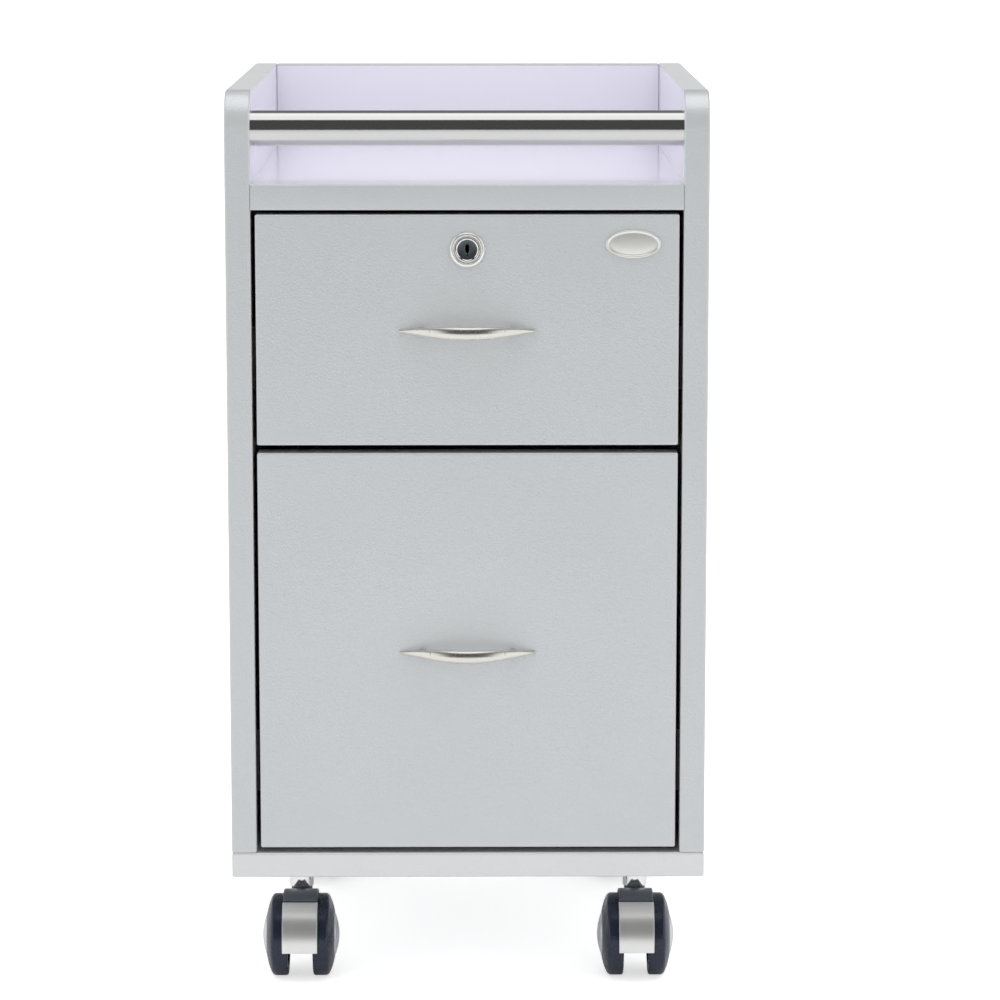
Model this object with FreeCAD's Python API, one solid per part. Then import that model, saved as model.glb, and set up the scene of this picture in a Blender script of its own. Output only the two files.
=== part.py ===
import FreeCAD, Part
import math
import os

# Mobile filing cabinet: laminated boards, an open tray with a tube rail, a box drawer
# with a cam lock, a file drawer, and four swivelling twin-wheel casters.
# Millimetres. +Z is up, the front faces -Y, left and right are as seen from the front.
# The origin is on the floor, in the middle of the whole object's box.

# Carcass
overall_width = 340.0
carcass_depth = 400.0
overall_height = 647.0
board = 18.0
back_board = 18.0
corner_radius = 25.0
board_edge_radius = 1.2
tray_depth = 65.0

# Tray rail, a tube let into blind sockets in the sides
rail_diameter = 25.0
rail_wall = 1.2
rail_rise = 38.5
rail_setback = 2.5
rail_socket_depth = 6.0

# Screws through the bottom board into the sides
carcass_screw_length = 50.0
carcass_screw_radius = 3.2
carcass_screw_head_radius = 5.0
carcass_screw_head_height = 4.0
carcass_screw_socket_radius = 1.6
carcass_screws_per_side = 3
carcass_screw_inset = 50.0

# Drawer fronts
front_board = 18.0
front_edge_radius = 1.6
front_side_gap = 3.0
front_top_gap = 3.0
front_middle_gap = 5.5
front_bottom_gap = 4.0
top_front_height = 163.5

# Drawer boxes
box_board = 12.0
box_bottom_board = 6.0
box_groove_depth = 6.0
box_groove_height = 12.0
box_rear_gap = 14.0
box_foot_rise = 14.0
top_box_drop = 34.0
bottom_box_drop = 20.0

# Telescopic runners, three nested channels
runner_space = 12.7
runner_sheet = 1.2
runner_height = 45.0
runner_race = 4.2
runner_front_gap = 2.0
runner_rise = 46.0
runner_member_gap = 1.6
cabinet_member_flange = 11.6

# File bars across the deep drawer
file_bar_end_gap = 8.5
file_bar_thickness = 3.0
file_bar_height = 16.0

# Bow handles
handle_length = 97.0
handle_projection = 23.0
handle_height = 9.6
handle_thickness = 7.0
handle_hole_spacing = 64.0
handle_foot_radius = 3.2
handle_tip_height = 1.4
handle_tip_thickness = 1.6
handle_tip_gap = 0.4
handle_bow_power = 1.3
handle_stations = 13
handle_screw_radius = 2.0
handle_screw_head_radius = 4.0
handle_screw_head_height = 2.4
handle_screw_reach = 7.0

# Cam lock
lock_drop = 24.7
lock_flange_radius = 12.3
lock_flange_height = 2.4
lock_barrel_radius = 9.5
lock_barrel_proud = 5.0
lock_head_radius = 8.75
lock_head_depth = 4.0
lock_head_inset = 0.6
lock_rim_width = 1.65
lock_face_recess = 0.8
lock_plug_radius = 6.0
lock_tail_width = 7.0
keyway_width = 2.6
keyway_height = 6.2
keyway_depth = 8.0
lock_nut_width = 24.0
lock_nut_thickness = 4.0
cam_thickness = 2.5
cam_width = 12.0
cam_reach = 38.0
mortise_depth = 12.0

# Blank oval plate
badge_width = 39.0
badge_height = 20.0
badge_thickness = 1.6
badge_rim = 1.8
badge_recess = 0.5
badge_inset = 53.3
badge_drop = 20.6

# Casters
wheel_diameter = 60.0
wheel_gap = 18.2
tread_width = 11.0
dish_width = 4.6
tyre_round = 1.5
wheel_hub_radius = 8.0
wheel_rim_wall = 6.0
wheel_recess = 6.0
cap_radius = 16.5
cap_bulge = 3.3
cap_edge = 1.2
axle_radius = 3.0
axle_end_cover = 2.0
trail = 18.0
caster_side_inset = 47.7
caster_end_inset = 57.0
hood_web = 16.0
hood_width = 25.0
hood_sheet = 2.0
hood_hub_radius = 10.0
hood_turret_radius = 10.0
hood_rise = 2.9
hood_start_angle = 61.0
hood_end_angle = 150.0
fender_width = 25.5
fender_sheet = 1.2
fender_start_angle = -11.0
collar_length = 19.8
collar_radius = 8.6
stem_radius = 4.0
stem_drop = 24.7
stud_radius = 4.0
stud_cover = 3.0

# Fits and clearances
running_fit = 0.05
swivel_gap = 0.3
drill_clearance = 0.1
wheel_arch_gap = 1.2
groove_clearance = 0.3
lock_hole_clearance = 0.2
cam_gap = 0.5
mortise_clearance = 1.5

# Levels and planes worked out from the sizes above
caster_height = wheel_diameter + hood_rise + swivel_gap + collar_length
front = -(carcass_depth - handle_projection) / 2
back = front + carcass_depth
half_width = overall_width / 2
inner_half = half_width - board
floor_top = caster_height + board
shelf_top = overall_height - tray_depth
shelf_bottom = shelf_top - board
back_face = back - back_board
front_back = front + front_board

front_half = inner_half - front_side_gap
top_front_top = shelf_bottom - front_top_gap
top_front_bottom = top_front_top - top_front_height
bottom_front_top = top_front_bottom - front_middle_gap
bottom_front_bottom = floor_top + front_bottom_gap

box_half = inner_half - runner_space
box_inner_half = box_half - box_board
box_end = back_face - box_rear_gap
top_box_foot = top_front_bottom + box_foot_rise
top_box_top = top_front_top - top_box_drop
bottom_box_foot = bottom_front_bottom + box_foot_rise
bottom_box_top = bottom_front_top - bottom_box_drop
runner_start = front_back + runner_front_gap
runner_end = box_end

lock_level = top_front_top - lock_drop
barrel_end = front_back + lock_barrel_proud
cam_start = barrel_end + cam_gap

rail_radius = rail_diameter / 2
rail_y = front + rail_setback + rail_radius
rail_level = shelf_top + rail_rise

wheel_radius = wheel_diameter / 2
wheel_inner = wheel_gap / 2
tread_outer = wheel_inner + tread_width
cap_seat = tread_outer + dish_width - cap_edge
cap_outer = cap_seat + cap_edge + cap_bulge
arch_radius = wheel_radius + wheel_arch_gap
hood_top = wheel_diameter + hood_rise
axle_end = cap_seat - axle_end_cover
casters = {
    "front_left": (-half_width + caster_side_inset, front + caster_end_inset),
    "front_right": (half_width - caster_side_inset, front + caster_end_inset),
    "rear_left": (-half_width + caster_side_inset, back - caster_end_inset),
    "rear_right": (half_width - caster_side_inset, back - caster_end_inset),
}


def block(x0, x1, y0, y1, z0, z1):
    """Box between two values along each axis."""
    return Part.makeBox(x1 - x0, y1 - y0, z1 - z0, FreeCAD.Vector(x0, y0, z0))


def rod_x(radius, x0, x1, y, z):
    """Cylinder along X."""
    return Part.makeCylinder(radius, x1 - x0, FreeCAD.Vector(x0, y, z), FreeCAD.Vector(1, 0, 0))


def rod_y(radius, y0, y1, x, z):
    """Cylinder along Y."""
    return Part.makeCylinder(radius, y1 - y0, FreeCAD.Vector(x, y0, z), FreeCAD.Vector(0, 1, 0))


def rod_z(radius, z0, z1, x, y):
    """Cylinder along Z."""
    return Part.makeCylinder(radius, z1 - z0, FreeCAD.Vector(x, y, z0), FreeCAD.Vector(0, 0, 1))


def mirrored(shape):
    """Copy of a shape on the other side of the middle plane."""
    return shape.mirror(FreeCAD.Vector(0, 0, 0), FreeCAD.Vector(1, 0, 0))


def rounded(shape, radius, wanted):
    """Shape with the edges that the test picks out rounded."""
    return shape.makeFillet(radius, [edge for edge in shape.Edges if wanted(edge)])


def lies_on(edge, axis, value):
    """Whether a whole edge lies in the plane where one coordinate has the given value."""
    low = getattr(edge.BoundBox, axis + "Min")
    high = getattr(edge.BoundBox, axis + "Max")
    return abs(low - value) < 1e-4 and abs(high - value) < 1e-4


def save(name, *solids):
    """Write one sub-part, as one solid or a group of separate solids."""
    shape = solids[0] if len(solids) == 1 else Part.makeCompound(list(solids))
    shape.exportStep("parts/" + name + ".step")


def carcass_screw_places():
    """Middles of the screws that hold one side to the bottom board, on the right."""
    first = front + carcass_screw_inset
    step = (carcass_depth - 2 * carcass_screw_inset) / (carcass_screws_per_side - 1)
    return [(half_width - board / 2, first + step * place) for place in range(carcass_screws_per_side)]


def screw_space(x, y, extra):
    """Shape of one carcass screw, larger by extra all round its shank and head."""
    head_top = caster_height + carcass_screw_head_height
    shank = rod_z(carcass_screw_radius + extra, head_top, caster_height + carcass_screw_length + extra, x, y)
    head = rod_z(carcass_screw_head_radius + extra, caster_height, head_top, x, y)
    return shank.fuse(head)


def side_panel():
    """Right side board, with a round top front corner, a rail socket and screw holes."""
    corner = FreeCAD.Vector(inner_half, front + corner_radius, overall_height - corner_radius)
    across = FreeCAD.Vector(1, 0, 0)
    low_front = FreeCAD.Vector(inner_half, front, floor_top)
    low_back = FreeCAD.Vector(inner_half, back, floor_top)
    top_back = FreeCAD.Vector(inner_half, back, overall_height)
    arc_top = corner + FreeCAD.Vector(0, 0, corner_radius)
    arc_front = corner - FreeCAD.Vector(0, corner_radius, 0)
    slant = corner_radius * math.sqrt(0.5)
    arc_middle = corner + FreeCAD.Vector(0, -slant, slant)
    edges = [
        Part.LineSegment(low_front, low_back).toShape(),
        Part.LineSegment(low_back, top_back).toShape(),
        Part.LineSegment(top_back, arc_top).toShape(),
        Part.Arc(arc_top, arc_middle, arc_front).toShape(),
        Part.LineSegment(arc_front, low_front).toShape(),
    ]
    plate = Part.Face(Part.Wire(edges)).extrude(across * board)
    plate = rounded(plate, board_edge_radius, side_panel_round_edge)
    socket_end = inner_half + rail_socket_depth
    plate = plate.cut(rod_x(rail_radius + drill_clearance, inner_half, socket_end, rail_y, rail_level))
    for x, y in carcass_screw_places():
        plate = plate.cut(screw_space(x, y, drill_clearance))
    return plate


def side_panel_round_edge(edge):
    """The long front, corner and top edges of a side board."""
    box = edge.BoundBox
    flat = box.XLength < 1e-4
    at_floor = lies_on(edge, "Z", floor_top)
    at_back = lies_on(edge, "Y", back)
    return flat and not at_floor and not at_back


def bottom_panel():
    """Bottom board that the sides stand on, drilled for screws and caster studs."""
    plate = block(-half_width, half_width, front, back, caster_height, floor_top)
    plate = rounded(plate, board_edge_radius, lambda edge: edge.BoundBox.ZLength < 1e-4)
    for x, y in carcass_screw_places():
        space = screw_space(x, y, drill_clearance)
        plate = plate.cut(space).cut(mirrored(space))
    for x, y in casters.values():
        plate = plate.cut(rod_z(stud_radius + drill_clearance, caster_height, floor_top - stud_cover, x, y))
    return plate


def mortise_half_length():
    """How far from the lock's middle the turning cam still meets the tray board."""
    corner_reach = math.hypot(cam_reach, cam_width / 2)
    rise = shelf_bottom - lock_level
    return math.sqrt(corner_reach ** 2 - rise ** 2) + mortise_clearance


def tray_shelf():
    """Tray board between the sides, with a mortise underneath for the lock's cam."""
    plate = block(-inner_half, inner_half, front, back_face, shelf_bottom, shelf_top)
    plate = rounded(plate, board_edge_radius, shelf_round_edge)
    low = cam_start - mortise_clearance
    high = cam_start + cam_thickness + mortise_clearance
    mortise = block(-cam_width / 2 - mortise_clearance, mortise_half_length(), low, high,
                    shelf_bottom, shelf_bottom + mortise_depth)
    return plate.cut(mortise)


def shelf_round_edge(edge):
    """The two long front edges of the tray board."""
    return lies_on(edge, "Y", front) and edge.BoundBox.ZLength < 1e-4


def back_panel():
    """Back board between the sides, from the bottom board to the top of the tray."""
    plate = block(-inner_half, inner_half, back_face, back, floor_top, overall_height)
    return rounded(plate, board_edge_radius, back_round_edge)


def back_round_edge(edge):
    """The two long top edges of the back board."""
    return lies_on(edge, "Z", overall_height) and edge.BoundBox.YLength < 1e-4


def tray_rail():
    """Tube across the front of the tray, its ends in the sockets."""
    reach = inner_half + rail_socket_depth - drill_clearance
    outer = rod_x(rail_radius, -reach, reach, rail_y, rail_level)
    return outer.cut(rod_x(rail_radius - rail_wall, -reach, reach, rail_y, rail_level))


def carcass_screws():
    """Screws up through the bottom board into both sides, each with a drive socket."""
    solids = []
    for x, y in carcass_screw_places():
        head_top = caster_height + carcass_screw_head_height
        screw = screw_space(x, y, 0.0).cut(rod_z(carcass_screw_socket_radius, caster_height, head_top, x, y))
        solids += [screw, mirrored(screw)]
    return solids


def runner_channel(start, depth, height, open_inwards):
    """Right-hand channel: a web and two flanges, its back start mm from the cabinet side."""
    web_outer = inner_half - start
    web_inner = web_outer - runner_sheet
    flange_inner = web_outer - depth
    half = height / 2
    if open_inwards:
        low, high = flange_inner, web_outer
    else:
        low, high = web_inner, web_inner + depth
    solid = block(low, high, runner_start, runner_end, -half, half)
    inside = half - runner_sheet
    if open_inwards:
        space = block(low, web_inner, runner_start, runner_end, -inside, inside)
    else:
        space = block(web_outer, high, runner_start, runner_end, -inside, inside)
    return solid.cut(space)


def middle_height():
    """Height of the middle channel, clear of the cabinet channel by the ball race."""
    return runner_height - 2 * (runner_sheet + runner_race)


def inner_height():
    """Height of the drawer channel, clear of the middle channel by the ball race."""
    return middle_height() - 2 * (runner_sheet + runner_race)


def runner_pair(channel, level):
    """A channel at a drawer's level and its mirror image."""
    channel = channel.copy()
    channel.translate(FreeCAD.Vector(0, 0, level))
    return [channel, mirrored(channel)]


def cabinet_channel():
    """Outer channel, screwed to the cabinet side."""
    return runner_channel(0.0, cabinet_member_flange, runner_height, True)


def middle_channel():
    """Middle channel, which moves half as far as the drawer."""
    start = runner_sheet + runner_member_gap
    depth = runner_space - 2 * (runner_sheet + runner_member_gap)
    return runner_channel(start, depth, middle_height(), True)


def drawer_channel():
    """Inner channel, screwed to the drawer's side."""
    web_start = runner_space - runner_sheet
    depth = runner_space - 2 * (runner_sheet + runner_member_gap) - runner_sheet
    return runner_channel(web_start, depth, inner_height(), False)


def runner_levels():
    """Middle heights of the top and bottom drawers' runners."""
    return top_box_foot + runner_rise, bottom_box_foot + runner_rise


def drawer_front(low, high, with_lock):
    """Drawer front with soft edges, drilled for its handle and perhaps the lock."""
    plate = block(-front_half, front_half, front, front_back, low, high)
    plate = rounded(plate, front_edge_radius, front_round_edge)
    level = handle_level(low, high)
    for x in (-handle_hole_spacing / 2, handle_hole_spacing / 2):
        plate = plate.cut(rod_y(handle_screw_radius + drill_clearance, front, front_back, x, level))
    if with_lock:
        plate = plate.cut(rod_y(lock_barrel_radius + lock_hole_clearance, front, front_back, 0.0, lock_level))
    return plate


def front_round_edge(edge):
    """The four edges round the face of a drawer front and the four along its thickness."""
    across = edge.BoundBox.XLength < 1e-4 and edge.BoundBox.ZLength < 1e-4
    return lies_on(edge, "Y", front) or across


def handle_level(low, high):
    """Height of the handle, in the middle of its front."""
    return (low + high) / 2


def box_sides(foot, top, notches):
    """Both side boards of a drawer box, grooved for the bottom and perhaps notched."""
    side = block(box_inner_half, box_half, front_back, box_end, foot, top)
    floor = foot + box_groove_height
    groove = block(box_inner_half, box_inner_half + box_groove_depth, front_back, box_end,
                   floor, floor + box_bottom_board + groove_clearance)
    side = side.cut(groove)
    if notches:
        for y in file_bar_places():
            notch_end = y + file_bar_thickness
            side = side.cut(block(box_inner_half, box_half, y, notch_end, top - file_bar_height, top))
    return [side, mirrored(side)]


def box_rear(foot, top):
    """Rear board of a drawer box, standing on the box's bottom."""
    low = foot + box_groove_height + box_bottom_board
    return block(-box_inner_half, box_inner_half, box_end - box_board, box_end, low, top)


def box_bottom(foot):
    """Bottom of a drawer box, in the grooves of its sides."""
    reach = box_inner_half + box_groove_depth - groove_clearance
    low = foot + box_groove_height
    return block(-reach, reach, front_back, box_end, low, low + box_bottom_board)


def file_bar_places():
    """Front faces of the two file bars, one near the drawer's front and one near its rear board."""
    return [front_back + file_bar_end_gap, box_end - box_board - file_bar_end_gap - file_bar_thickness]


def file_bars():
    """Two flat bars across the deep drawer that hanging files hook onto."""
    low = bottom_box_top - file_bar_height
    high = bottom_box_top
    return [block(-box_half, box_half, y, y + file_bar_thickness, low, high) for y in file_bar_places()]


def bow_standoff(x):
    """Distance of the bow's centre line from the front, for a place along the handle."""
    tip = handle_tip_gap + handle_tip_thickness / 2
    middle = handle_projection - handle_thickness / 2
    share = math.cos(math.pi * x / handle_length)
    return tip + (middle - tip) * max(share, 0.0) ** handle_bow_power


def bow_section(x, level):
    """Oval section of the bow at a place along it: full in the middle, thin at the tips."""
    fullness = 1 - (2 * abs(x) / handle_length) ** 2
    half_height = (handle_tip_height + (handle_height - handle_tip_height) * fullness) / 2
    half_thickness = (handle_tip_thickness + (handle_thickness - handle_tip_thickness) * fullness) / 2
    circle = Part.Wire([Part.Circle().toShape()])
    matrix = FreeCAD.Matrix(
        0, 0, 1, x,
        0, half_thickness, 0, front - bow_standoff(x),
        half_height, 0, 0, level,
        0, 0, 0, 1,
    )
    return circle.transformGeometry(matrix)


def bow_handle(level):
    """Leaf-shaped bow on two round feet, bored for its screws."""
    places = [handle_length * (number / (handle_stations - 1) - 0.5) for number in range(handle_stations)]
    bow = Part.makeLoft([bow_section(x, level) for x in places], True, False)
    for x in (-handle_hole_spacing / 2, handle_hole_spacing / 2):
        bow = bow.fuse(rod_y(handle_foot_radius, front - bow_standoff(x), front, x, level))
    hole_end = front - handle_screw_reach - drill_clearance
    for x in (-handle_hole_spacing / 2, handle_hole_spacing / 2):
        bow = bow.cut(rod_y(handle_screw_radius + drill_clearance, hole_end, front, x, level))
    return bow


def handle_screws(level):
    """Two pan-head screws from inside the drawer into the handle's feet."""
    screws = []
    for x in (-handle_hole_spacing / 2, handle_hole_spacing / 2):
        shank = rod_y(handle_screw_radius, front - handle_screw_reach, front_back, x, level)
        head = rod_y(handle_screw_head_radius, front_back, front_back + handle_screw_head_height, x, level)
        head = rounded(head, handle_screw_head_height / 3,
                       lambda edge: lies_on(edge, "Y", front_back + handle_screw_head_height))
        screws.append(shank.fuse(head))
    return screws


def lock_barrel():
    """Flanged barrel through the drawer front, bored for the plug."""
    flange_face = front - lock_flange_height
    flange = rod_y(lock_flange_radius, flange_face, front, 0.0, lock_level)
    flange = rounded(flange, lock_flange_height / 2, lambda edge: lies_on(edge, "Y", flange_face))
    body = flange.fuse(rod_y(lock_barrel_radius, front, barrel_end, 0.0, lock_level))
    head_end = front + lock_head_depth + running_fit
    head_space = rod_y(lock_head_radius + running_fit, flange_face, head_end, 0.0, lock_level)
    bore = rod_y(lock_plug_radius + running_fit, front, barrel_end, 0.0, lock_level)
    return body.cut(head_space).cut(bore)


def lock_nut():
    """Hexagon nut behind the drawer front."""
    middle = FreeCAD.Vector(0, front_back, lock_level)
    radius = lock_nut_width / math.sqrt(3)
    points = []
    for corner in range(7):
        angle = math.radians(60 * corner)
        points.append(middle + FreeCAD.Vector(radius * math.cos(angle), 0, radius * math.sin(angle)))
    nut = Part.Face(Part.makePolygon(points)).extrude(FreeCAD.Vector(0, lock_nut_thickness, 0))
    nut_end = front_back + lock_nut_thickness
    return nut.cut(rod_y(lock_barrel_radius + drill_clearance, front_back, nut_end, 0.0, lock_level))


def lock_plug():
    """Turning plug: a rimmed head with an upright keyway, a stem and a square tail."""
    face = front - lock_flange_height + lock_head_inset
    head = rod_y(lock_head_radius, face, front + lock_head_depth, 0.0, lock_level)
    dish = rod_y(lock_head_radius - lock_rim_width, face, face + lock_face_recess, 0.0, lock_level)
    stem = rod_y(lock_plug_radius, front + lock_head_depth, cam_start, 0.0, lock_level)
    half_tail = lock_tail_width / 2 - drill_clearance
    tail = block(-half_tail, half_tail, cam_start, cam_start + cam_thickness,
                 lock_level - half_tail, lock_level + half_tail)
    keyway = block(-keyway_width / 2, keyway_width / 2, face, face + keyway_depth,
                   lock_level - keyway_height / 2, lock_level + keyway_height / 2)
    return head.cut(dish).fuse(stem).fuse(tail).cut(keyway)


def lock_cam():
    """Flat cam on the plug's square tail, lying towards the right when unlocked."""
    end = cam_start + cam_thickness
    bar = block(0.0, cam_reach, cam_start, end, lock_level - cam_width / 2, lock_level + cam_width / 2)
    cam = bar.fuse(rod_y(cam_width / 2, cam_start, end, 0.0, lock_level))
    half_tail = lock_tail_width / 2
    return cam.cut(block(-half_tail, half_tail, cam_start, end, lock_level - half_tail, lock_level + half_tail))


def oval_plate(width, height, y0, y1, x, z):
    """Flat oval plate between two planes across Y."""
    oval = Part.Ellipse(FreeCAD.Vector(0, 0, 0), width / 2, height / 2).toShape()
    face = Part.Face(Part.Wire([oval]))
    face.rotate(FreeCAD.Vector(0, 0, 0), FreeCAD.Vector(1, 0, 0), 90)
    face.translate(FreeCAD.Vector(x, y0, z))
    return face.extrude(FreeCAD.Vector(0, y1 - y0, 0))


def badge_plate():
    """Blank oval plate with a raised rim, near the front's top right corner."""
    x = half_width - badge_inset
    z = top_front_top - badge_drop
    plate = oval_plate(badge_width, badge_height, front - badge_thickness, front, x, z)
    dish = oval_plate(badge_width - 2 * badge_rim, badge_height - 2 * badge_rim, front - badge_thickness,
                      front - badge_thickness + badge_recess, x, z)
    return plate.cut(dish)


def arch_place(radius, angle, x, y):
    """Point about the axle. Angles run from the front (0) over the top (90)."""
    turn = math.radians(angle)
    return FreeCAD.Vector(x, y - radius * math.cos(turn), wheel_radius + radius * math.sin(turn))


def arch_sector(inner, outer, half_length, start_angle, end_angle, x, y):
    """Piece of a ring, or of a disc where inner is 0, about the axle."""
    left = x - half_length
    middle_angle = (start_angle + end_angle) / 2
    outer_ends = [arch_place(outer, angle, left, y) for angle in (start_angle, middle_angle, end_angle)]
    inner_ends = [arch_place(inner, angle, left, y) for angle in (start_angle, middle_angle, end_angle)]
    edges = [
        Part.Arc(*outer_ends).toShape(),
        Part.LineSegment(outer_ends[2], inner_ends[2]).toShape(),
        Part.LineSegment(inner_ends[0], outer_ends[0]).toShape(),
    ]
    if inner > 0:
        edges.insert(2, Part.Arc(inner_ends[2], inner_ends[1], inner_ends[0]).toShape())
    return Part.Face(Part.Wire(edges)).extrude(FreeCAD.Vector(2 * half_length, 0, 0))


def caster_hood(x, y):
    """Caster housing: a web between the wheels, a cover over them and a swivel turret."""
    axle_y = y - trail
    web = arch_sector(0.0, arch_radius, hood_web / 2, fender_start_angle, hood_end_angle, x, axle_y)
    hub = rod_x(hood_hub_radius, x - hood_web / 2, x + hood_web / 2, axle_y, wheel_radius)
    cover_radius = arch_radius + hood_sheet
    cover = arch_sector(arch_radius, cover_radius, hood_width / 2, hood_start_angle, hood_end_angle, x, axle_y)
    turret = rod_z(hood_turret_radius, wheel_diameter + wheel_arch_gap / 2, hood_top, x, y)
    post_half = hood_web / 2
    post = block(x - post_half, x + post_half, y - post_half, y + post_half,
                 hood_top - stem_drop - post_half, wheel_diameter + wheel_arch_gap / 2)
    housing = web.fuse(hub).fuse(cover).fuse(post).fuse(turret)
    housing = housing.cut(rod_z(stem_radius + running_fit, hood_top - stem_drop, hood_top, x, y))
    return housing.cut(rod_x(axle_radius, x - hood_web, x + hood_web, axle_y, wheel_radius))


def caster_fender(x, y):
    """Bright curved plate in front of the wheels, below the hood's cover."""
    return arch_sector(arch_radius, arch_radius + fender_sheet, fender_width / 2, fender_start_angle,
                       hood_start_angle, x, y - trail)


def caster_axle(x, y):
    """Axle through the web into both wheels."""
    return rod_x(axle_radius, x - axle_end, x + axle_end, y - trail, wheel_radius)


def turned(points, x, y, outwards):
    """Solid turned about the axle from (distance from the caster's middle, radius) points."""
    middle = FreeCAD.Vector(x, y - trail, wheel_radius)
    places = [middle + FreeCAD.Vector(outwards * along, 0, radius) for along, radius in points]
    face = Part.Face(Part.makePolygon(places + [places[0]]))
    return face.revolve(middle, FreeCAD.Vector(1, 0, 0), 360)


def caster_wheel(x, y, outwards):
    """Wheel with a flat tread, a sloping outer side, a hollow inner side and a blind bore."""
    bore = axle_radius + running_fit
    rim = wheel_radius - wheel_rim_wall
    profile = [
        (wheel_inner, bore),
        (wheel_inner, wheel_hub_radius),
        (wheel_inner + wheel_recess, wheel_hub_radius),
        (wheel_inner + wheel_recess, rim),
        (wheel_inner, rim),
        (wheel_inner, wheel_radius - tyre_round),
        (wheel_inner + tyre_round, wheel_radius),
        (tread_outer - tyre_round, wheel_radius),
        (tread_outer, wheel_radius - tyre_round),
        (tread_outer + dish_width * 0.6, (wheel_radius + cap_radius) / 2),
        (tread_outer + dish_width, cap_radius + drill_clearance),
        (cap_seat, cap_radius + drill_clearance),
        (cap_seat, 0.0),
        (axle_end + drill_clearance, 0.0),
        (axle_end + drill_clearance, bore),
    ]
    return turned(profile, x, y, outwards)


def wheel_cap(x, y, outwards):
    """Low dome that closes the outer side of a wheel, part of a large ball on a thin disc."""
    ball = (cap_radius ** 2 + cap_bulge ** 2) / (2 * cap_bulge)
    half_slope = math.asin(cap_radius / ball) / 2
    centre = FreeCAD.Vector(x + outwards * (cap_outer - ball), y - trail, wheel_radius)
    seat = FreeCAD.Vector(x + outwards * cap_seat, y - trail, wheel_radius)
    apex = centre + FreeCAD.Vector(outwards * ball, 0, 0)
    shoulder = centre + FreeCAD.Vector(outwards * ball * math.cos(half_slope), 0, ball * math.sin(half_slope))
    rim = seat + FreeCAD.Vector(0, 0, cap_radius)
    edge = rim + FreeCAD.Vector(outwards * cap_edge, 0, 0)
    outline = Part.Wire([
        Part.LineSegment(seat, rim).toShape(),
        Part.LineSegment(rim, edge).toShape(),
        Part.Arc(edge, shoulder, apex).toShape(),
        Part.LineSegment(apex, seat).toShape(),
    ])
    return Part.Face(outline).revolve(seat, FreeCAD.Vector(1, 0, 0), 360)


def caster_stem(x, y):
    """Bright collar under the board, a pin down into the hood and a stud up into the board."""
    collar_foot = hood_top + swivel_gap
    collar = rod_z(collar_radius, collar_foot, caster_height, x, y)
    pin = rod_z(stem_radius, hood_top - stem_drop + swivel_gap, collar_foot, x, y)
    stud = rod_z(stud_radius, caster_height, floor_top - stud_cover, x, y)
    return collar.fuse(pin).fuse(stud)


def save_carcass():
    """Boards, rail, screws, fixed runner channels and caster stems."""
    right = side_panel()
    save("right_side_panel", right)
    save("left_side_panel", mirrored(right))
    save("bottom_panel", bottom_panel())
    save("tray_shelf", tray_shelf())
    save("back_panel", back_panel())
    save("tray_rail", tray_rail())
    save("carcass_screws", *carcass_screws())
    top_level, bottom_level = runner_levels()
    top_channels = runner_pair(cabinet_channel(), top_level)
    save("cabinet_runners", *top_channels, *runner_pair(cabinet_channel(), bottom_level))
    save("caster_stems", *[caster_stem(x, y) for x, y in casters.values()])


def save_drawer(name, low, high, foot, top, runner_level, deep):
    """One drawer: its front, box, handle, screws and runner channels."""
    level = handle_level(low, high)
    save(name + "_drawer_front", drawer_front(low, high, not deep))
    save(name + "_drawer_sides", *box_sides(foot, top, deep))
    save(name + "_drawer_rear", box_rear(foot, top))
    save(name + "_drawer_bottom", box_bottom(foot))
    save(name + "_handle", bow_handle(level))
    save(name + "_handle_screws", *handle_screws(level))
    save(name + "_drawer_runners", *runner_pair(drawer_channel(), runner_level))
    save(name + "_middle_runners", *runner_pair(middle_channel(), runner_level))


def save_lock_and_fittings():
    """Lock, blank plate and file bars."""
    save("lock_barrel", lock_barrel())
    save("lock_nut", lock_nut())
    save("lock_plug", lock_plug())
    save("lock_cam", lock_cam())
    save("badge_plate", badge_plate())
    save("file_bars", *file_bars())


def save_casters():
    """Four casters: a hood, a fender, an axle, and two wheels with their caps."""
    for name, (x, y) in casters.items():
        left_is_outer = x < 0
        sides = {"outer": -1 if left_is_outer else 1, "inner": 1 if left_is_outer else -1}
        save(name + "_hood", caster_hood(x, y))
        save(name + "_fender", caster_fender(x, y))
        save(name + "_axle", caster_axle(x, y))
        for side, outwards in sides.items():
            save(name + "_" + side + "_wheel", caster_wheel(x, y, outwards))
            save(name + "_" + side + "_cap", wheel_cap(x, y, outwards))


os.makedirs("parts", exist_ok=True)
save_carcass()
top_runner_level, bottom_runner_level = runner_levels()
save_drawer("top", top_front_bottom, top_front_top, top_box_foot, top_box_top, top_runner_level, False)
save_drawer("bottom", bottom_front_bottom, bottom_front_top, bottom_box_foot, bottom_box_top,
            bottom_runner_level, True)
save_lock_and_fittings()
save_casters()
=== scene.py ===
"""Looks of a mobile filing pedestal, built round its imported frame.

Silver foil boards, a lilac-lined open tray with a tube rail, bow handles, a cam lock, a blank oval
plate, telescopic runners and twin-wheel casters. Lengths are in metres; MM turns millimetres into them.
"""
import logging
import math
from dataclasses import dataclass, field, replace
from enum import Enum
from typing import Callable, Iterable, Sequence

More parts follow.
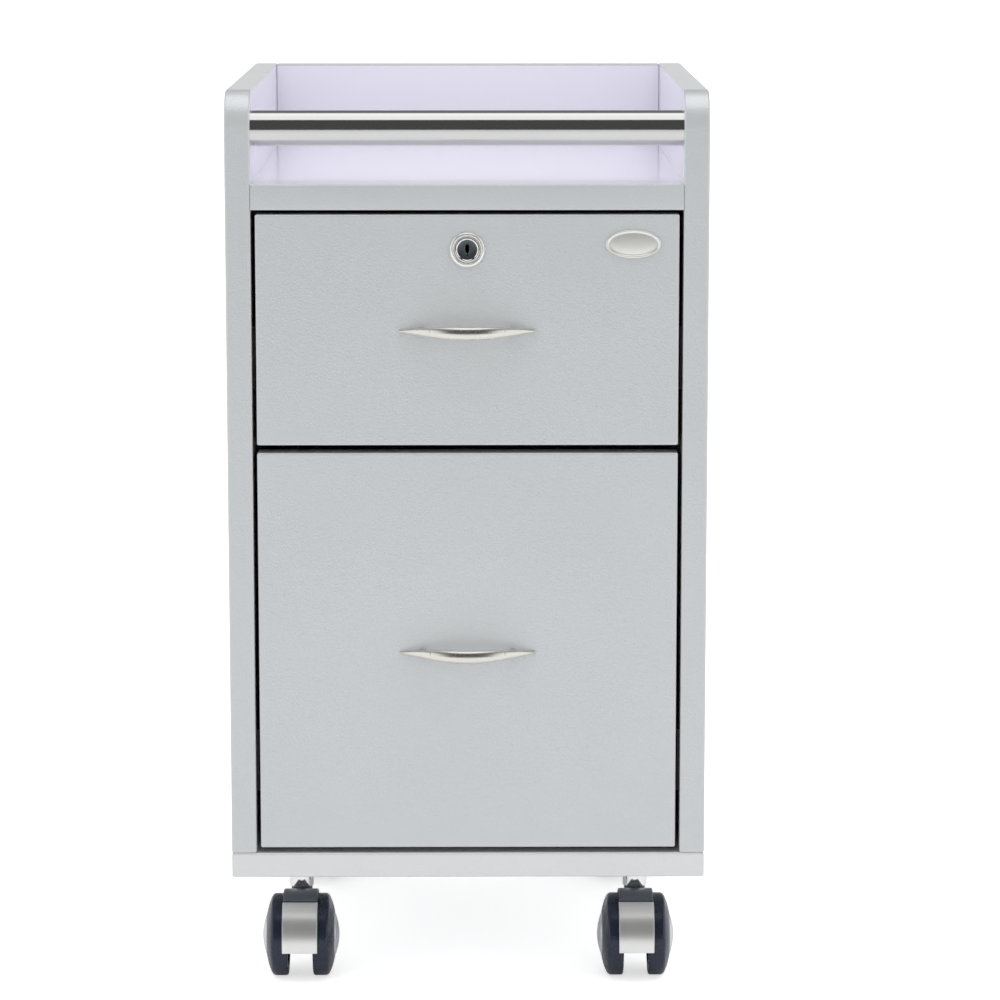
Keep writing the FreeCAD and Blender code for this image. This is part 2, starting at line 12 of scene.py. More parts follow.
import bmesh
import bpy
import numpy as np
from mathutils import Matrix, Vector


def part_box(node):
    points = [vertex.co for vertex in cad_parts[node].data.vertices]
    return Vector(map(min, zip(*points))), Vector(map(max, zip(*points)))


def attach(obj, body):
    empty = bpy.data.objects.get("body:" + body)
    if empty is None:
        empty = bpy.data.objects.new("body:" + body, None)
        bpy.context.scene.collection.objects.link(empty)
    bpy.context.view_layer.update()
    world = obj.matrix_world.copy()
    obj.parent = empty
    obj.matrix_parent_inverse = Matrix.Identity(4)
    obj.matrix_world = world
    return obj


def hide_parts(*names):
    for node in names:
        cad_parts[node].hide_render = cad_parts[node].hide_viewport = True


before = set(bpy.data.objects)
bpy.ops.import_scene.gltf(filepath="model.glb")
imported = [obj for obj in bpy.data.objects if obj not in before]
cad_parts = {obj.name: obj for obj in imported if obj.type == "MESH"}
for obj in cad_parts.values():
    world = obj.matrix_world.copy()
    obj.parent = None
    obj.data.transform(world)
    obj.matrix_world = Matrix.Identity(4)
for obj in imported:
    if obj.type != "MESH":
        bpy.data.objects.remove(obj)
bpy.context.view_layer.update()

MM = 0.001
LOG = logging.getLogger("pedestal")
Array = np.ndarray
Colour = tuple[float, float, float]


class Axis(Enum):
    """A row axis, with its place in a coordinate triple."""

    X = 0
    Y = 1
    Z = 2

    def across(self) -> tuple[int, int]:
        """The other two axes' places, in order."""
        return tuple(place for place in range(3) if place != self.value)


class Flank(Enum):
    """Left or right as seen from the front, with its sign along X."""

    LEFT = -1
    RIGHT = 1


# ---------------------------------------------------------------- surfaces


@dataclass(frozen=True)
class Surface:
    """Points and the faces between them; a closed shell, or several.

    Attributes:
        points: One row of x, y, z for each vertex.
        faces: Vertex numbers of each face.
    """

    points: Array
    faces: list[list[int]]

    def __add__(self, other: "Surface") -> "Surface":
        """Both surfaces as one, with the other's vertex numbers moved up."""
        count = len(self.points)
        moved = [[corner + count for corner in face] for face in other.faces]
        return Surface(np.vstack([self.points, other.points]), self.faces + moved)

    def moved(self, offset: Sequence[float]) -> "Surface":
        """The surface shifted by an offset."""
        return Surface(self.points + np.asarray(offset, dtype=float), self.faces)


def net(points: Array, rows_close: bool = False, caps: bool = False) -> Surface:
    """Surface over a grid of points whose columns always close into a ring.

    Each face joins neighbours (row, column), (row, column + 1), (row + 1, column + 1) and
    (row + 1, column), with the column counted round the ring.

    Args:
        points: Array of shape (rows, columns, 3).
        rows_close: Whether the last row joins the first.
        caps: Whether the first and last rows are closed with one face each.

    Returns:
        The surface.
    """
    rows, columns = points.shape[:2]
    numbers = np.arange(rows * columns).reshape(rows, columns)
    upper = np.roll(numbers, -1, axis=0) if rows_close else numbers[1:]
    lower = numbers if rows_close else numbers[:-1]
    quads = np.stack([lower, np.roll(lower, -1, axis=1), np.roll(upper, -1, axis=1), upper], axis=-1)
    faces = quads.reshape(-1, 4).tolist()
    if caps:
        faces += [numbers[0].tolist(), numbers[-1].tolist()]
    return Surface(points.reshape(-1, 3), faces)


def rounded_path(corners: Sequence[Sequence[float]], radii: Sequence[float], closed: bool = True,
                 steps: int = 5) -> Array:
    """Outline with softened corners.

    Near a corner C the path is (1 - t)^2 A + 2 t (1 - t) C + t^2 B for t from 0 to 1, where A and B
    lie on the two sides, one radius away from C.

    Args:
        corners: Corner points, in order.
        radii: Softening length at each corner; 0 keeps it sharp.
        closed: Whether the last corner joins the first.
        steps: Spans along each softened corner.

    Returns:
        Array of path points, shape (count, 2).
    """
    points = np.asarray(corners, dtype=float)
    t = np.linspace(0.0, 1.0, steps + 1)[:, None]
    pieces = []
    for place, radius in enumerate(radii):
        corner = points[place]
        is_end = not closed and place in (0, len(points) - 1)
        if radius <= 0 or is_end:
            pieces.append(corner[None, :])
            continue
        before = points[place - 1] - corner
        after = points[(place + 1) % len(points)] - corner
        start = corner + before / np.linalg.norm(before) * radius
        end = corner + after / np.linalg.norm(after) * radius
        pieces.append((1 - t) ** 2 * start + 2 * t * (1 - t) * corner + t ** 2 * end)
    return np.vstack(pieces)


def arc(radius: float, start: float, end: float, steps: int, centre: Sequence[float] = (0.0, 0.0)) -> Array:
    """Points (centre + radius cos a, centre + radius sin a) for angles a in degrees."""
    angles = np.radians(np.linspace(start, end, steps + 1))
    return np.asarray(centre) + radius * np.column_stack([np.cos(angles), np.sin(angles)])


def edge_rows(thickness: float, low_round: float, high_round: float, lead: float, steps: int = 5) -> Array:
    """Rows (inset, depth) through a board's thickness, rounded at both faces.

    At each rounded edge the inset is r (1 - sin a) and the depth r (1 - cos a) for a from 0 to 90
    degrees; a lead row on either side keeps the flat faces flat when they are smooth shaded.

    Args:
        thickness: The board's thickness.
        low_round: Edge radius at depth 0.
        high_round: Edge radius at full depth.
        lead: Distance from a rounding to its lead row.
        steps: Spans round each edge.

    Returns:
        Array of rows, shape (count, 2).
    """
    turn = np.linspace(0.0, math.pi / 2, steps + 1)
    low = low_round * np.column_stack([1 - np.sin(turn), 1 - np.cos(turn)])
    high = high_round * np.column_stack([1 - np.sin(turn), np.cos(turn) - 1])[::-1] + (0.0, thickness)
    first = [[low_round + lead, 0.0]]
    wall = [[0.0, low_round + lead], [0.0, thickness - high_round - lead]]
    last = [[high_round + lead, thickness]]
    return np.vstack([first, low, wall, high, last])


def corner_rings(low: Array, high: Array, radii: Sequence[float], insets: Array, lead: float,
                 steps: int = 10) -> Array:
    """Rounded rectangles, one for each inset.

    A corner's arc has its centre one inset plus one radius in from both sides, and its radius
    shrinks with the inset; short lead spans continue it along the straight sides.

    Args:
        low: Lowest corner of the rectangle.
        high: Highest corner.
        radii: Corner radii, from the low-low corner anticlockwise.
        insets: Distance of each ring in from the outline.
        lead: Length of the lead spans.
        steps: Spans round each corner.

    Returns:
        Array of shape (insets, points, 2).
    """
    signs = np.array([[1, 1], [-1, 1], [-1, -1], [1, -1]])
    corners = np.array([[low[0], low[1]], [high[0], low[1]], [high[0], high[1]], [low[0], high[1]]])
    pieces = []
    for quarter in range(4):
        radius = np.maximum(radii[quarter] - insets, 0.02 * MM)[:, None, None]
        angles = math.pi + quarter * math.pi / 2 + np.linspace(0.0, math.pi / 2, steps + 1)
        circle = np.column_stack([np.cos(angles), np.sin(angles)])
        centre = corners[quarter] + signs[quarter] * (insets[:, None, None] + radius)
        bend = centre + radius * circle
        along = np.column_stack([-np.sin(angles[[0, -1]]), np.cos(angles[[0, -1]])])
        pieces += [bend[:, :1] - lead * along[0], bend, bend[:, -1:] + lead * along[1]]
    return np.concatenate(pieces, axis=1)


def board(low: Sequence[float], high: Sequence[float], axis: Axis, radii: Sequence[float],
          low_round: float, high_round: float, hole: tuple[Sequence[float], float] | None = None,
          lead: float = 0.5 * MM) -> Surface:
    """Board between two corners, its outline and both faces' edges rounded, with or without a bore.

    A bore's wall joins two circles of as many points as a ring, centre + r (cos a, sin a).

    Args:
        low: Lowest corner.
        high: Highest corner.
        axis: The axis through the board's thickness.
        radii: Outline radii, anticlockwise from the corner that is low on both other axes.
        low_round: Edge radius at the low face.
        high_round: Edge radius at the high face.
        hole: Centre on the other two axes and radius of a bore through the board, or None.
        lead: Length of the spans that keep flat faces flat.

    Returns:
        The closed surface.
    """
    first, second = axis.across()
    low, high = np.asarray(low, dtype=float), np.asarray(high, dtype=float)
    rows = edge_rows(high[axis.value] - low[axis.value], low_round, high_round, lead)
    rings = corner_rings(low[[first, second]], high[[first, second]], radii, rows[:, 0], lead)
    points = np.empty(rings.shape[:2] + (3,))
    points[..., [first, second]] = rings
    points[..., axis.value] = low[axis.value] + rows[:, 1][:, None]
    if hole is None:
        return net(points, caps=True)
    count = rings.shape[1]
    angle = math.pi + (np.arange(count) + 0.5) * 2 * math.pi / count
    circles = points[[0, -1]].copy()
    circles[..., [first, second]] = np.asarray(hole[0]) + hole[1] * np.column_stack([np.cos(angle), np.sin(angle)])
    return net(np.vstack([circles[:1], points, circles[1:]]), rows_close=True)


def plate_from_path(path: Array, low: float, high: float, rounding: float,
                    place: Callable[[Array, Array, Array], Array]) -> Surface:
    """Plate with any outline, its two faces' edges rounded.

    Every ring is the outline moved inwards along its own normals by the row's inset.

    Args:
        path: Closed outline, anticlockwise, shape (count, 2).
        low: Depth of one face.
        high: Depth of the other face.
        rounding: Edge radius at both faces.
        place: Turns the two outline coordinates and the depth into x, y, z.

    Returns:
        The closed surface.
    """
    ahead = np.roll(path, -1, axis=0) - np.roll(path, 1, axis=0)
    normals = np.column_stack([ahead[:, 1], -ahead[:, 0]])
    normals /= np.linalg.norm(normals, axis=1)[:, None]
    rows = edge_rows(high - low, rounding, rounding, rounding / 2, steps=3)
    rings = path[None] - rows[:, 0][:, None, None] * normals[None]
    depth = np.broadcast_to(low + rows[:, 1][:, None], rings.shape[:2])
    return net(place(rings[..., 0], rings[..., 1], depth), caps=True)


def turned(profile: Array, axis: Axis, centre: Sequence[float], outwards: float = 1.0,
           segments: int = 96, closed: bool = False) -> Surface:
    """Surface turned about an axis.

    A profile point (along, radius) becomes the circle of that radius, that far along the axis.

    Args:
        profile: Rows of (along, radius); a radius of 0 becomes a pole.
        axis: The turning axis.
        centre: A point on the axis, from which distances along it are counted.
        outwards: 1 or -1, the way that distances along the axis run.
        segments: Points round each circle.
        closed: Whether the profile's last row joins its first.

    Returns:
        The surface.
    """
    first, second = axis.across()
    angles = np.linspace(0.0, 2 * math.pi, segments, endpoint=False)
    points = np.empty((len(profile), segments, 3))
    points[..., axis.value] = outwards * profile[:, :1]
    points[..., first] = profile[:, 1:] * np.cos(angles)
    points[..., second] = profile[:, 1:] * np.sin(angles)
    return net(points + np.asarray(centre, dtype=float), rows_close=closed)


def make_object(name: str, surface: Surface, sharp: float = 32.0) -> bpy.types.Object:
    """Mesh object of a surface: poles merged, faces outwards, smooth except at sharp edges.

    Args:
        name: The object's name.
        surface: Points and faces, in place.
        sharp: Angle in degrees above which an edge stays sharp.

    Returns:
        The new object, linked to the scene.
    """
    mesh = bpy.data.meshes.new(name)
    mesh.from_pydata(surface.points.tolist(), [], surface.faces)
    shell = bmesh.new()
    shell.from_mesh(mesh)
    bmesh.ops.remove_doubles(shell, verts=shell.verts, dist=0.0005 * MM)
    bmesh.ops.recalc_face_normals(shell, faces=shell.faces)
    shell.to_mesh(mesh)
    shell.free()
    mesh.shade_smooth()
    mesh.set_sharp_from_angle(angle=math.radians(sharp))
    made = bpy.data.objects.new(name, mesh)
    bpy.context.scene.collection.objects.link(made)
    return made


# ---------------------------------------------------------------- shader groups


class Nodes:
    """Short hand for adding linked nodes to a tree."""

    def __init__(self, tree: bpy.types.NodeTree) -> None:
        """Work on one tree."""
        self.tree = tree

    def add(self, kind: str, values: dict | None = None, **settings) -> bpy.types.Node:
        """New node.

        Args:
            kind: The node's type name, without its ShaderNode prefix where it has one.
            values: Input name or number to a constant or to another node's output socket.
            settings: Properties of the node itself.

        Returns:
            The node.
        """
        full = kind if kind.startswith("NodeGroup") else "ShaderNode" + kind
        node = self.tree.nodes.new(full)
        for key, value in settings.items():
            setattr(node, key, value)
        for key, value in (values or {}).items():
            self.put(node.inputs[key], value)
        return node

    def put(self, socket: bpy.types.NodeSocket, value) -> None:
        """Link a socket to another node's output, or set its constant."""
        if isinstance(value, bpy.types.NodeSocket):
            self.tree.links.new(value, socket)
        else:
            socket.default_value = value

    def maths(self, operation: str, first, second=0.0, third=0.0) -> bpy.types.NodeSocket:
        """Output of a Math node with up to three inputs."""
        return self.add("Math", {0: first, 1: second, 2: third}, operation=operation).outputs[0]

    def span(self, value, low: float, high: float) -> bpy.types.NodeSocket:
        """A 0 to 1 value stretched to run from low to high."""
        return self.add("MapRange", {"Value": value, "To Min": low, "To Max": high}).outputs[0]


def new_group(name: str, inputs: dict[str, tuple[str, object]], outputs: dict[str, str]) -> tuple:
    """Empty shader node group with named sockets.

    Args:
        name: The group's name.
        inputs: Socket name to its kind (Float, Vector or Color) and its default.
        outputs: Socket name to its kind.

    Returns:
        The group, a Nodes helper for it, its input node's outputs, and its output node.
    """
    group = bpy.data.node_groups.new(name, "ShaderNodeTree")
    for label, (kind, default) in inputs.items():
        socket = group.interface.new_socket(label, in_out="INPUT", socket_type="NodeSocket" + kind)
        if default is not None:
            socket.default_value = default
    for label, kind in outputs.items():
        group.interface.new_socket(label, in_out="OUTPUT", socket_type="NodeSocket" + kind)
    nodes = Nodes(group)
    given = nodes.add("NodeGroupInput").outputs
    end = nodes.add("NodeGroupOutput")
    return group, nodes, given, end


def leather_grain_group() -> bpy.types.NodeTree:
    """Fine pebbled grain: rounded cells broken up by noise, plus a slow swell.

    Returns:
        The group; its height is 0.65 cells + 0.35 fine noise, its shade is slow noise.
    """
    group, nodes, given, end = new_group(
        "leather_grain", {"Vector": ("Vector", None), "Cells": ("Float", 800.0)},
        {"Height": "Float", "Shade": "Float"})
    wobble = nodes.add("TexNoise", {"Vector": given["Vector"], "Scale": 300.0, "Detail": 2.0})
    shift = nodes.add("VectorMath", {0: wobble.outputs["Color"], 1: (0.0012, 0.0012, 0.0012)},
                      operation="MULTIPLY")
    moved = nodes.add("VectorMath", {0: given["Vector"], 1: shift.outputs[0]}, operation="ADD")
    cells = nodes.add("TexVoronoi", {"Vector": moved.outputs[0], "Scale": given["Cells"]},
                      feature="SMOOTH_F1")
    fine = nodes.add("TexNoise", {"Vector": given["Vector"], "Scale": 1500.0, "Detail": 3.0})
    slow = nodes.add("TexNoise", {"Vector": given["Vector"], "Scale": 9.0, "Detail": 3.0})
    height = nodes.maths("MULTIPLY_ADD", cells.outputs["Distance"], 0.65,
                         nodes.maths("MULTIPLY", fine.outputs["Fac"], 0.35))
    nodes.put(end.inputs["Height"], height)
    nodes.put(end.inputs["Shade"], slow.outputs["Fac"])
    return group


def drawn_lines_group() -> bpy.types.NodeTree:
    """Fine lines left by brushing: noise squeezed across the lines and stretched along them.

    Returns:
        The group; Stretch is the vector that the coordinates are multiplied by.
    """
    group, nodes, given, end = new_group(
        "drawn_lines", {"Vector": ("Vector", None), "Stretch": ("Vector", (20.0, 2000.0, 2000.0))},
        {"Height": "Float", "Shade": "Float"})
    stretched = nodes.add("VectorMath", {0: given["Vector"], 1: given["Stretch"]}, operation="MULTIPLY")
    lines = nodes.add("TexNoise", {"Vector": stretched.outputs[0], "Scale": 1.0, "Detail": 4.0,
                                   "Roughness": 0.65})
    slow = nodes.add("TexNoise", {"Vector": given["Vector"], "Scale": 25.0, "Detail": 2.0})
    mixed = nodes.maths("MULTIPLY_ADD", slow.outputs["Fac"], 0.35,
                        nodes.maths("MULTIPLY", lines.outputs["Fac"], 0.65))
    nodes.put(end.inputs["Height"], lines.outputs["Fac"])
    nodes.put(end.inputs["Shade"], mixed)
    return group


def mottle_group() -> bpy.types.NodeTree:
    """Two colours mixed by layered noise.

    Returns:
        The group, which puts out the colour and the noise itself.
    """
    group, nodes, given, end = new_group(
        "mottle", {"Vector": ("Vector", None), "Scale": ("Float", 30.0),
                   "Dark": ("Color", (0.4, 0.4, 0.4, 1.0)), "Light": ("Color", (0.6, 0.6, 0.6, 1.0))},
        {"Color": "Color", "Value": "Float"})
    noise = nodes.add("TexNoise", {"Vector": given["Vector"], "Scale": given["Scale"], "Detail": 5.0,
                                   "Roughness": 0.6})
    blend = nodes.add("Mix", {0: noise.outputs["Fac"], 6: given["Dark"], 7: given["Light"]},
                      data_type="RGBA")
    nodes.put(end.inputs["Color"], blend.outputs[2])
    nodes.put(end.inputs["Value"], noise.outputs["Fac"])
    return group


def box_mask_group() -> bpy.types.NodeTree:
    """Mask that is 1 inside a box and 0 outside it, with a soft step at its walls.

    Returns:
        The group. The mask is the product of the six steps (value - low) / soft and
        (high - value) / soft, each held between 0 and 1.
    """
    group, nodes, given, end = new_group(
        "box_mask", {"Vector": ("Vector", None), "Low": ("Vector", (0.0, 0.0, 0.0)),
                     "High": ("Vector", (1.0, 1.0, 1.0)), "Soft": ("Float", 0.0002)},
        {"Mask": "Float"})
    place = nodes.add("SeparateXYZ", {0: given["Vector"]})
    low = nodes.add("SeparateXYZ", {0: given["Low"]})
    high = nodes.add("SeparateXYZ", {0: given["High"]})
    product = None
    for number in range(3):
        value = place.outputs[number]
        for step in (nodes.maths("SUBTRACT", value, low.outputs[number]),
                     nodes.maths("SUBTRACT", high.outputs[number], value)):
            share = nodes.add("Math", {0: step, 1: given["Soft"]}, operation="DIVIDE", use_clamp=True)
            product = share.outputs[0] if product is None else nodes.maths("MULTIPLY", product, share.outputs[0])
    nodes.put(end.inputs["Mask"], product)
    return group


class Effects:
    """The shared shader groups, each built once."""

    makers: dict[str, Callable[[], bpy.types.NodeTree]] = {
        "leather_grain": leather_grain_group,
        "drawn_lines": drawn_lines_group,
        "mottle": mottle_group,
        "box_mask": box_mask_group,
    }

    @classmethod
    def use(cls, nodes: Nodes, name: str, values: dict) -> bpy.types.Node:
        """Place a shared group in a material.

        Args:
            nodes: Helper of the material's tree.
            name: The effect's name.
            values: Input name to constant or socket.

        Returns:
            The group node.
        """
        group = bpy.data.node_groups.get(name) or cls.makers[name]()
        node = nodes.add("Group", node_tree=group)
        for key, value in values.items():
            nodes.put(node.inputs[key], value)
        return node


# ---------------------------------------------------------------- finishes


def opaque(colour: Colour, factor: float = 1.0) -> tuple[float, float, float, float]:
    """A colour made darker or lighter by a factor, with full alpha."""
    return (*(min(channel * factor, 1.0) for channel in colour), 1.0)


MADE_MATERIALS: dict[str, bpy.types.Material] = {}


@dataclass(frozen=True)
class Finish:
    """A surface finish; its kinds paint the same shader in their own way.

    Attributes:
        name: The material's name.
        slot: The material slot that it belongs to.
        colour: Base colour, linear.
        roughness: Middle roughness.
        metallic: Metallic share.
        coat: Weight of the clear coat.
        coat_roughness: Roughness of the clear coat.
        specular: Specular level.
    """

    name: str
    slot: str
    colour: Colour
    roughness: float = 0.4
    metallic: float = 0.0
    coat: float = 0.0
    coat_roughness: float = 0.1
    specular: float = 0.5

    def material(self) -> bpy.types.Material:
        """The material, made the first time it is asked for."""
        if self.name in MADE_MATERIALS:
            return MADE_MATERIALS[self.name]
        made = bpy.data.materials.new(self.name)
        MADE_MATERIALS[self.name] = made
        made.use_nodes = True
        shader = made.node_tree.nodes["Principled BSDF"]
        shader.inputs["Roughness"].default_value = self.roughness
        shader.inputs["Metallic"].default_value = self.metallic
        shader.inputs["Coat Weight"].default_value = self.coat
        shader.inputs["Coat Roughness"].default_value = self.coat_roughness
        shader.inputs["Specular IOR Level"].default_value = self.specular
        shader.inputs["Base Color"].default_value = opaque(self.colour)
        nodes = Nodes(made.node_tree)
        self.paint(nodes, nodes.add("TexCoord").outputs["Object"], shader)
        return made

    def paint(self, nodes: Nodes, place: bpy.types.NodeSocket, shader: bpy.types.Node) -> None:
        """Add the finish's own pattern to the shader."""
        raise NotImplementedError

    def bump(self, nodes: Nodes, shader: bpy.types.Node, height, strength: float, depth: float) -> None:
        """Feed a height through a Bump node into the shader's normal."""
        bump = nodes.add("Bump", {"Height": height, "Strength": strength, "Distance": depth})
        nodes.put(shader.inputs["Normal"], bump.outputs[0])


@dataclass(frozen=True)
class FoilFinish(Finish):
    """Silver foil with a pebbled grain, with a glossy lilac lining inside a stated box.

    Attributes:
        cells: Grain cells in a metre.
        grain: Strength of the grain.
        lining: Low and high corners of the lined space, or None.
        lining_colour: Colour of the lining.
        dark_line: Place along Y of a darker line across the lining.
    """

    cells: float = 800.0
    grain: float = 0.75
    lining: tuple[Colour, Colour] | None = None
    lining_colour: Colour = (0.80, 0.785, 0.872)
    dark_line: float = 0.0

    def paint(self, nodes: Nodes, place: bpy.types.NodeSocket, shader: bpy.types.Node) -> None:
        """Grain, slow tone changes, and the lining where the piece has one."""
        grain = Effects.use(nodes, "leather_grain", {"Vector": place, "Cells": self.cells})
        tone = Effects.use(nodes, "mottle", {"Vector": place, "Scale": 14.0,
                                            "Dark": opaque(self.colour, 0.965),
                                            "Light": opaque(self.colour, 1.035)})
        colour, rough = tone.outputs["Color"], nodes.span(grain.outputs["Shade"], self.roughness - 0.05,
                                                          self.roughness + 0.05)
        metal, height = self.metallic, grain.outputs["Height"]
        if self.lining:
            low, high = self.lining
            mask = Effects.use(nodes, "box_mask", {"Vector": place, "Low": low, "High": high}).outputs[0]
            line_low = (low[0], self.dark_line - 0.0005, low[2])
            line_high = (high[0], self.dark_line + 0.0005, high[2])
            dark_line = Effects.use(nodes, "box_mask", {"Vector": place, "Low": line_low, "High": line_high,
                                                  "Soft": 0.0004}).outputs[0]
            lilac = Effects.use(nodes, "mottle", {"Vector": place, "Scale": 8.0,
                                                 "Dark": opaque(self.lining_colour, 0.985),
                                                 "Light": opaque(self.lining_colour, 1.015)}).outputs["Color"]
            # A darker line across the lining: up to 35 percent of the way towards half the lining's colour.
            with_dark_line = nodes.add("Mix", {0: nodes.maths("MULTIPLY", dark_line, 0.35), 6: lilac,
                                        7: opaque(self.lining_colour, 0.5)}, data_type="RGBA").outputs[2]
            colour = nodes.add("Mix", {0: mask, 6: colour, 7: with_dark_line}, data_type="RGBA").outputs[2]
            rough = nodes.add("Mix", {0: mask, 2: rough, 3: 0.16}, data_type="FLOAT").outputs[0]
            metal = nodes.maths("MULTIPLY_ADD", mask, -self.metallic, self.metallic)
            height = nodes.maths("MULTIPLY", height, nodes.maths("MULTIPLY_ADD", mask, -0.93, 1.0))
        nodes.put(shader.inputs["Base Color"], colour)
        nodes.put(shader.inputs["Roughness"], rough)
        nodes.put(shader.inputs["Metallic"], metal)
        self.bump(nodes, shader, height, self.grain, 0.30 * MM)


@dataclass(frozen=True)
class DrawnFinish(Finish):
    """Brushed or ground metal with lines along one axis.

    Attributes:
        stretch: What the coordinates are multiplied by; small along the lines.
        depth: Depth of the lines.
        spread: How far the roughness strays either way.
        contrast: How far the colour strays either way, as a share.
        painted_shade_end: Place along Y in front of which the piece is painted near black as shade, for the dark gap
            that it shows through, or None.
    """

    stretch: tuple[float, float, float] = (15.0, 2500.0, 2500.0)
    depth: float = 0.004 * MM
    spread: float = 0.06
    contrast: float = 0.05
    painted_shade_end: float | None = None

    def paint(self, nodes: Nodes, place: bpy.types.NodeSocket, shader: bpy.types.Node) -> None:
        """Lines in the height, roughness and colour, and near-black painted shade at the front end where there is
        one.
        """
        lines = Effects.use(nodes, "drawn_lines", {"Vector": place, "Stretch": self.stretch})
        shade = lines.outputs["Shade"]
        dark, light = opaque(self.colour, 1 - self.contrast), opaque(self.colour, 1 + self.contrast)
        colour = nodes.add("Mix", {0: shade, 6: dark, 7: light}, data_type="RGBA").outputs[2]
        # Painted shade: ahead of this place along Y the colour is near black and the metal is taken out, for the
        # shadow in the narrow gap that the front end shows through.
        if self.painted_shade_end is not None:
            along = nodes.add("SeparateXYZ", {0: place}).outputs[1]
            clip = nodes.maths("LESS_THAN", along, self.painted_shade_end)
            colour = nodes.add("Mix", {0: clip, 6: colour, 7: (0.01, 0.01, 0.011, 1.0)},
                               data_type="RGBA").outputs[2]
            nodes.put(shader.inputs["Metallic"], nodes.maths("MULTIPLY_ADD", clip, -self.metallic, self.metallic))
        nodes.put(shader.inputs["Base Color"], colour)
        low, high = self.roughness - self.spread, self.roughness + self.spread
        nodes.put(shader.inputs["Roughness"], nodes.span(shade, low, high))
        self.bump(nodes, shader, lines.outputs["Height"], 0.6, self.depth)


@dataclass(frozen=True)
class SmoothFinish(Finish):
    """Polished metal, moulded plastic or rubber: a faint mottle and a faint unevenness.

    Attributes:
        scale: Scale of the mottle.
        contrast: How far the colour strays either way, as a share.
        spread: How far the roughness strays either way.
        unevenness: Depth of the surface's fine unevenness.
        fineness: Scale of that unevenness.
    """

    scale: float = 60.0
    contrast: float = 0.04
    spread: float = 0.03
    unevenness: float = 0.004 * MM
    fineness: float = 900.0

    def paint(self, nodes: Nodes, place: bpy.types.NodeSocket, shader: bpy.types.Node) -> None:
        """Mottled colour and roughness over a nearly even surface."""
        dark, light = opaque(self.colour, 1 - self.contrast), opaque(self.colour, 1 + self.contrast)
        tone = Effects.use(nodes, "mottle", {"Vector": place, "Scale": self.scale, "Dark": dark, "Light": light})
        nodes.put(shader.inputs["Base Color"], tone.outputs["Color"])
        low, high = self.roughness - self.spread, self.roughness + self.spread
        nodes.put(shader.inputs["Roughness"], nodes.span(tone.outputs["Value"], low, high))
        fine = nodes.add("TexNoise", {"Vector": place, "Scale": self.fineness, "Detail": 3.0})
        self.bump(nodes, shader, fine.outputs["Fac"], 0.5, self.unevenness)


BOX_BOARD = SmoothFinish("grey_laminate", "box_board", (0.60, 0.60, 0.61), roughness=0.45, scale=18.0,
                         unevenness=0.02 * MM, fineness=1400.0)
RAIL_STEEL = DrawnFinish("bright_tube", "rail_steel", (0.64, 0.645, 0.635), roughness=0.11, metallic=1.0,
                         stretch=(9.0, 1800.0, 1800.0), contrast=0.08, spread=0.03)
NICKEL = DrawnFinish("brushed_nickel", "nickel", (0.76, 0.74, 0.69), roughness=0.28, metallic=1.0,
                     stretch=(40.0, 3000.0, 3000.0))
ZINC = DrawnFinish("zinc_plate", "zinc_steel", (0.50, 0.51, 0.51), roughness=0.36, metallic=1.0,
                   stretch=(1500.0, 14.0, 1500.0), contrast=0.10)
CHROME = SmoothFinish("polished_chrome", "chrome", (0.88, 0.88, 0.87), roughness=0.07, metallic=1.0)
PLATE_SATIN = SmoothFinish("satin_plate", "chrome", (0.83, 0.83, 0.80), roughness=0.29, metallic=0.64,
                           unevenness=0.06 * MM, fineness=500.0)
BARREL_CHROME = SmoothFinish("bright_barrel", "chrome", (0.88, 0.88, 0.86), roughness=0.2, metallic=0.7)
# Runner zinc with painted shade: its front end is coloured near black for the shadowed gap beside the drawer fronts.
SHADED_RUNNER_ZINC = replace(ZINC, name="runner_zinc_shaded_front", painted_shade_end=-0.1560)
SATIN_CHROME = SmoothFinish("satin_chrome", "chrome", (0.89, 0.89, 0.87), roughness=0.36, metallic=0.88,
                            scale=25.0, contrast=0.01, unevenness=0.001 * MM)
# Near-black colour with little reflection, painted down the keyway as shade inside the narrow slot.
KEYWAY_SHADE = SmoothFinish("keyway_painted_shade", "lock_face", (0.006, 0.006, 0.007), roughness=0.7, specular=0.1)
AXLE_STEEL = DrawnFinish("ground_steel", "axle_steel", (0.55, 0.56, 0.57), roughness=0.3, metallic=1.0,
                         stretch=(2500.0, 30.0, 30.0))
HOOD_PLASTIC = SmoothFinish("moulded_hood", "hood_plastic", (0.078, 0.090, 0.112), roughness=0.34, coat=0.15,
                            unevenness=0.01 * MM)
WHEEL_PLASTIC = SmoothFinish("moulded_wheel", "wheel_plastic", (0.010, 0.0155, 0.034), roughness=0.27,
                             unevenness=0.02 * MM, fineness=1200.0)
CAP_SILVER = SmoothFinish("domed_silver", "cap_silver", (0.70, 0.72, 0.76), roughness=0.18, metallic=0.8,
                          coat=0.5)
LOCK_FACE = SmoothFinish("dark_keyed_face", "lock_face", (0.10, 0.115, 0.12), roughness=0.32, metallic=0.8,
                         contrast=0.2, scale=700.0)


# ---------------------------------------------------------------- frame helpers


def low_high(node: str) -> tuple[Array, Array]:
    """A node's lowest and highest corners, as arrays."""
    low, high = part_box(node)
    return np.array(low), np.array(high)


def fit_out(made: bpy.types.Object, body: str, finish: Finish, stands_for: Iterable[str] = ()) -> None:
    """Give a new piece its finish and body, and hide the nodes that it stands for.

    Args:
        made: The piece.
        body: The body that it rides on.
        finish: Its finish.
        stands_for: CAD nodes that it stands for.
    """
    made.data.materials.append(finish.material())
    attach(made, body)
    names = tuple(stands_for)
    if names:
        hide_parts(*names)
    LOG.info("%s rides on %s for %s", made.name, body, ", ".join(names) or "itself")


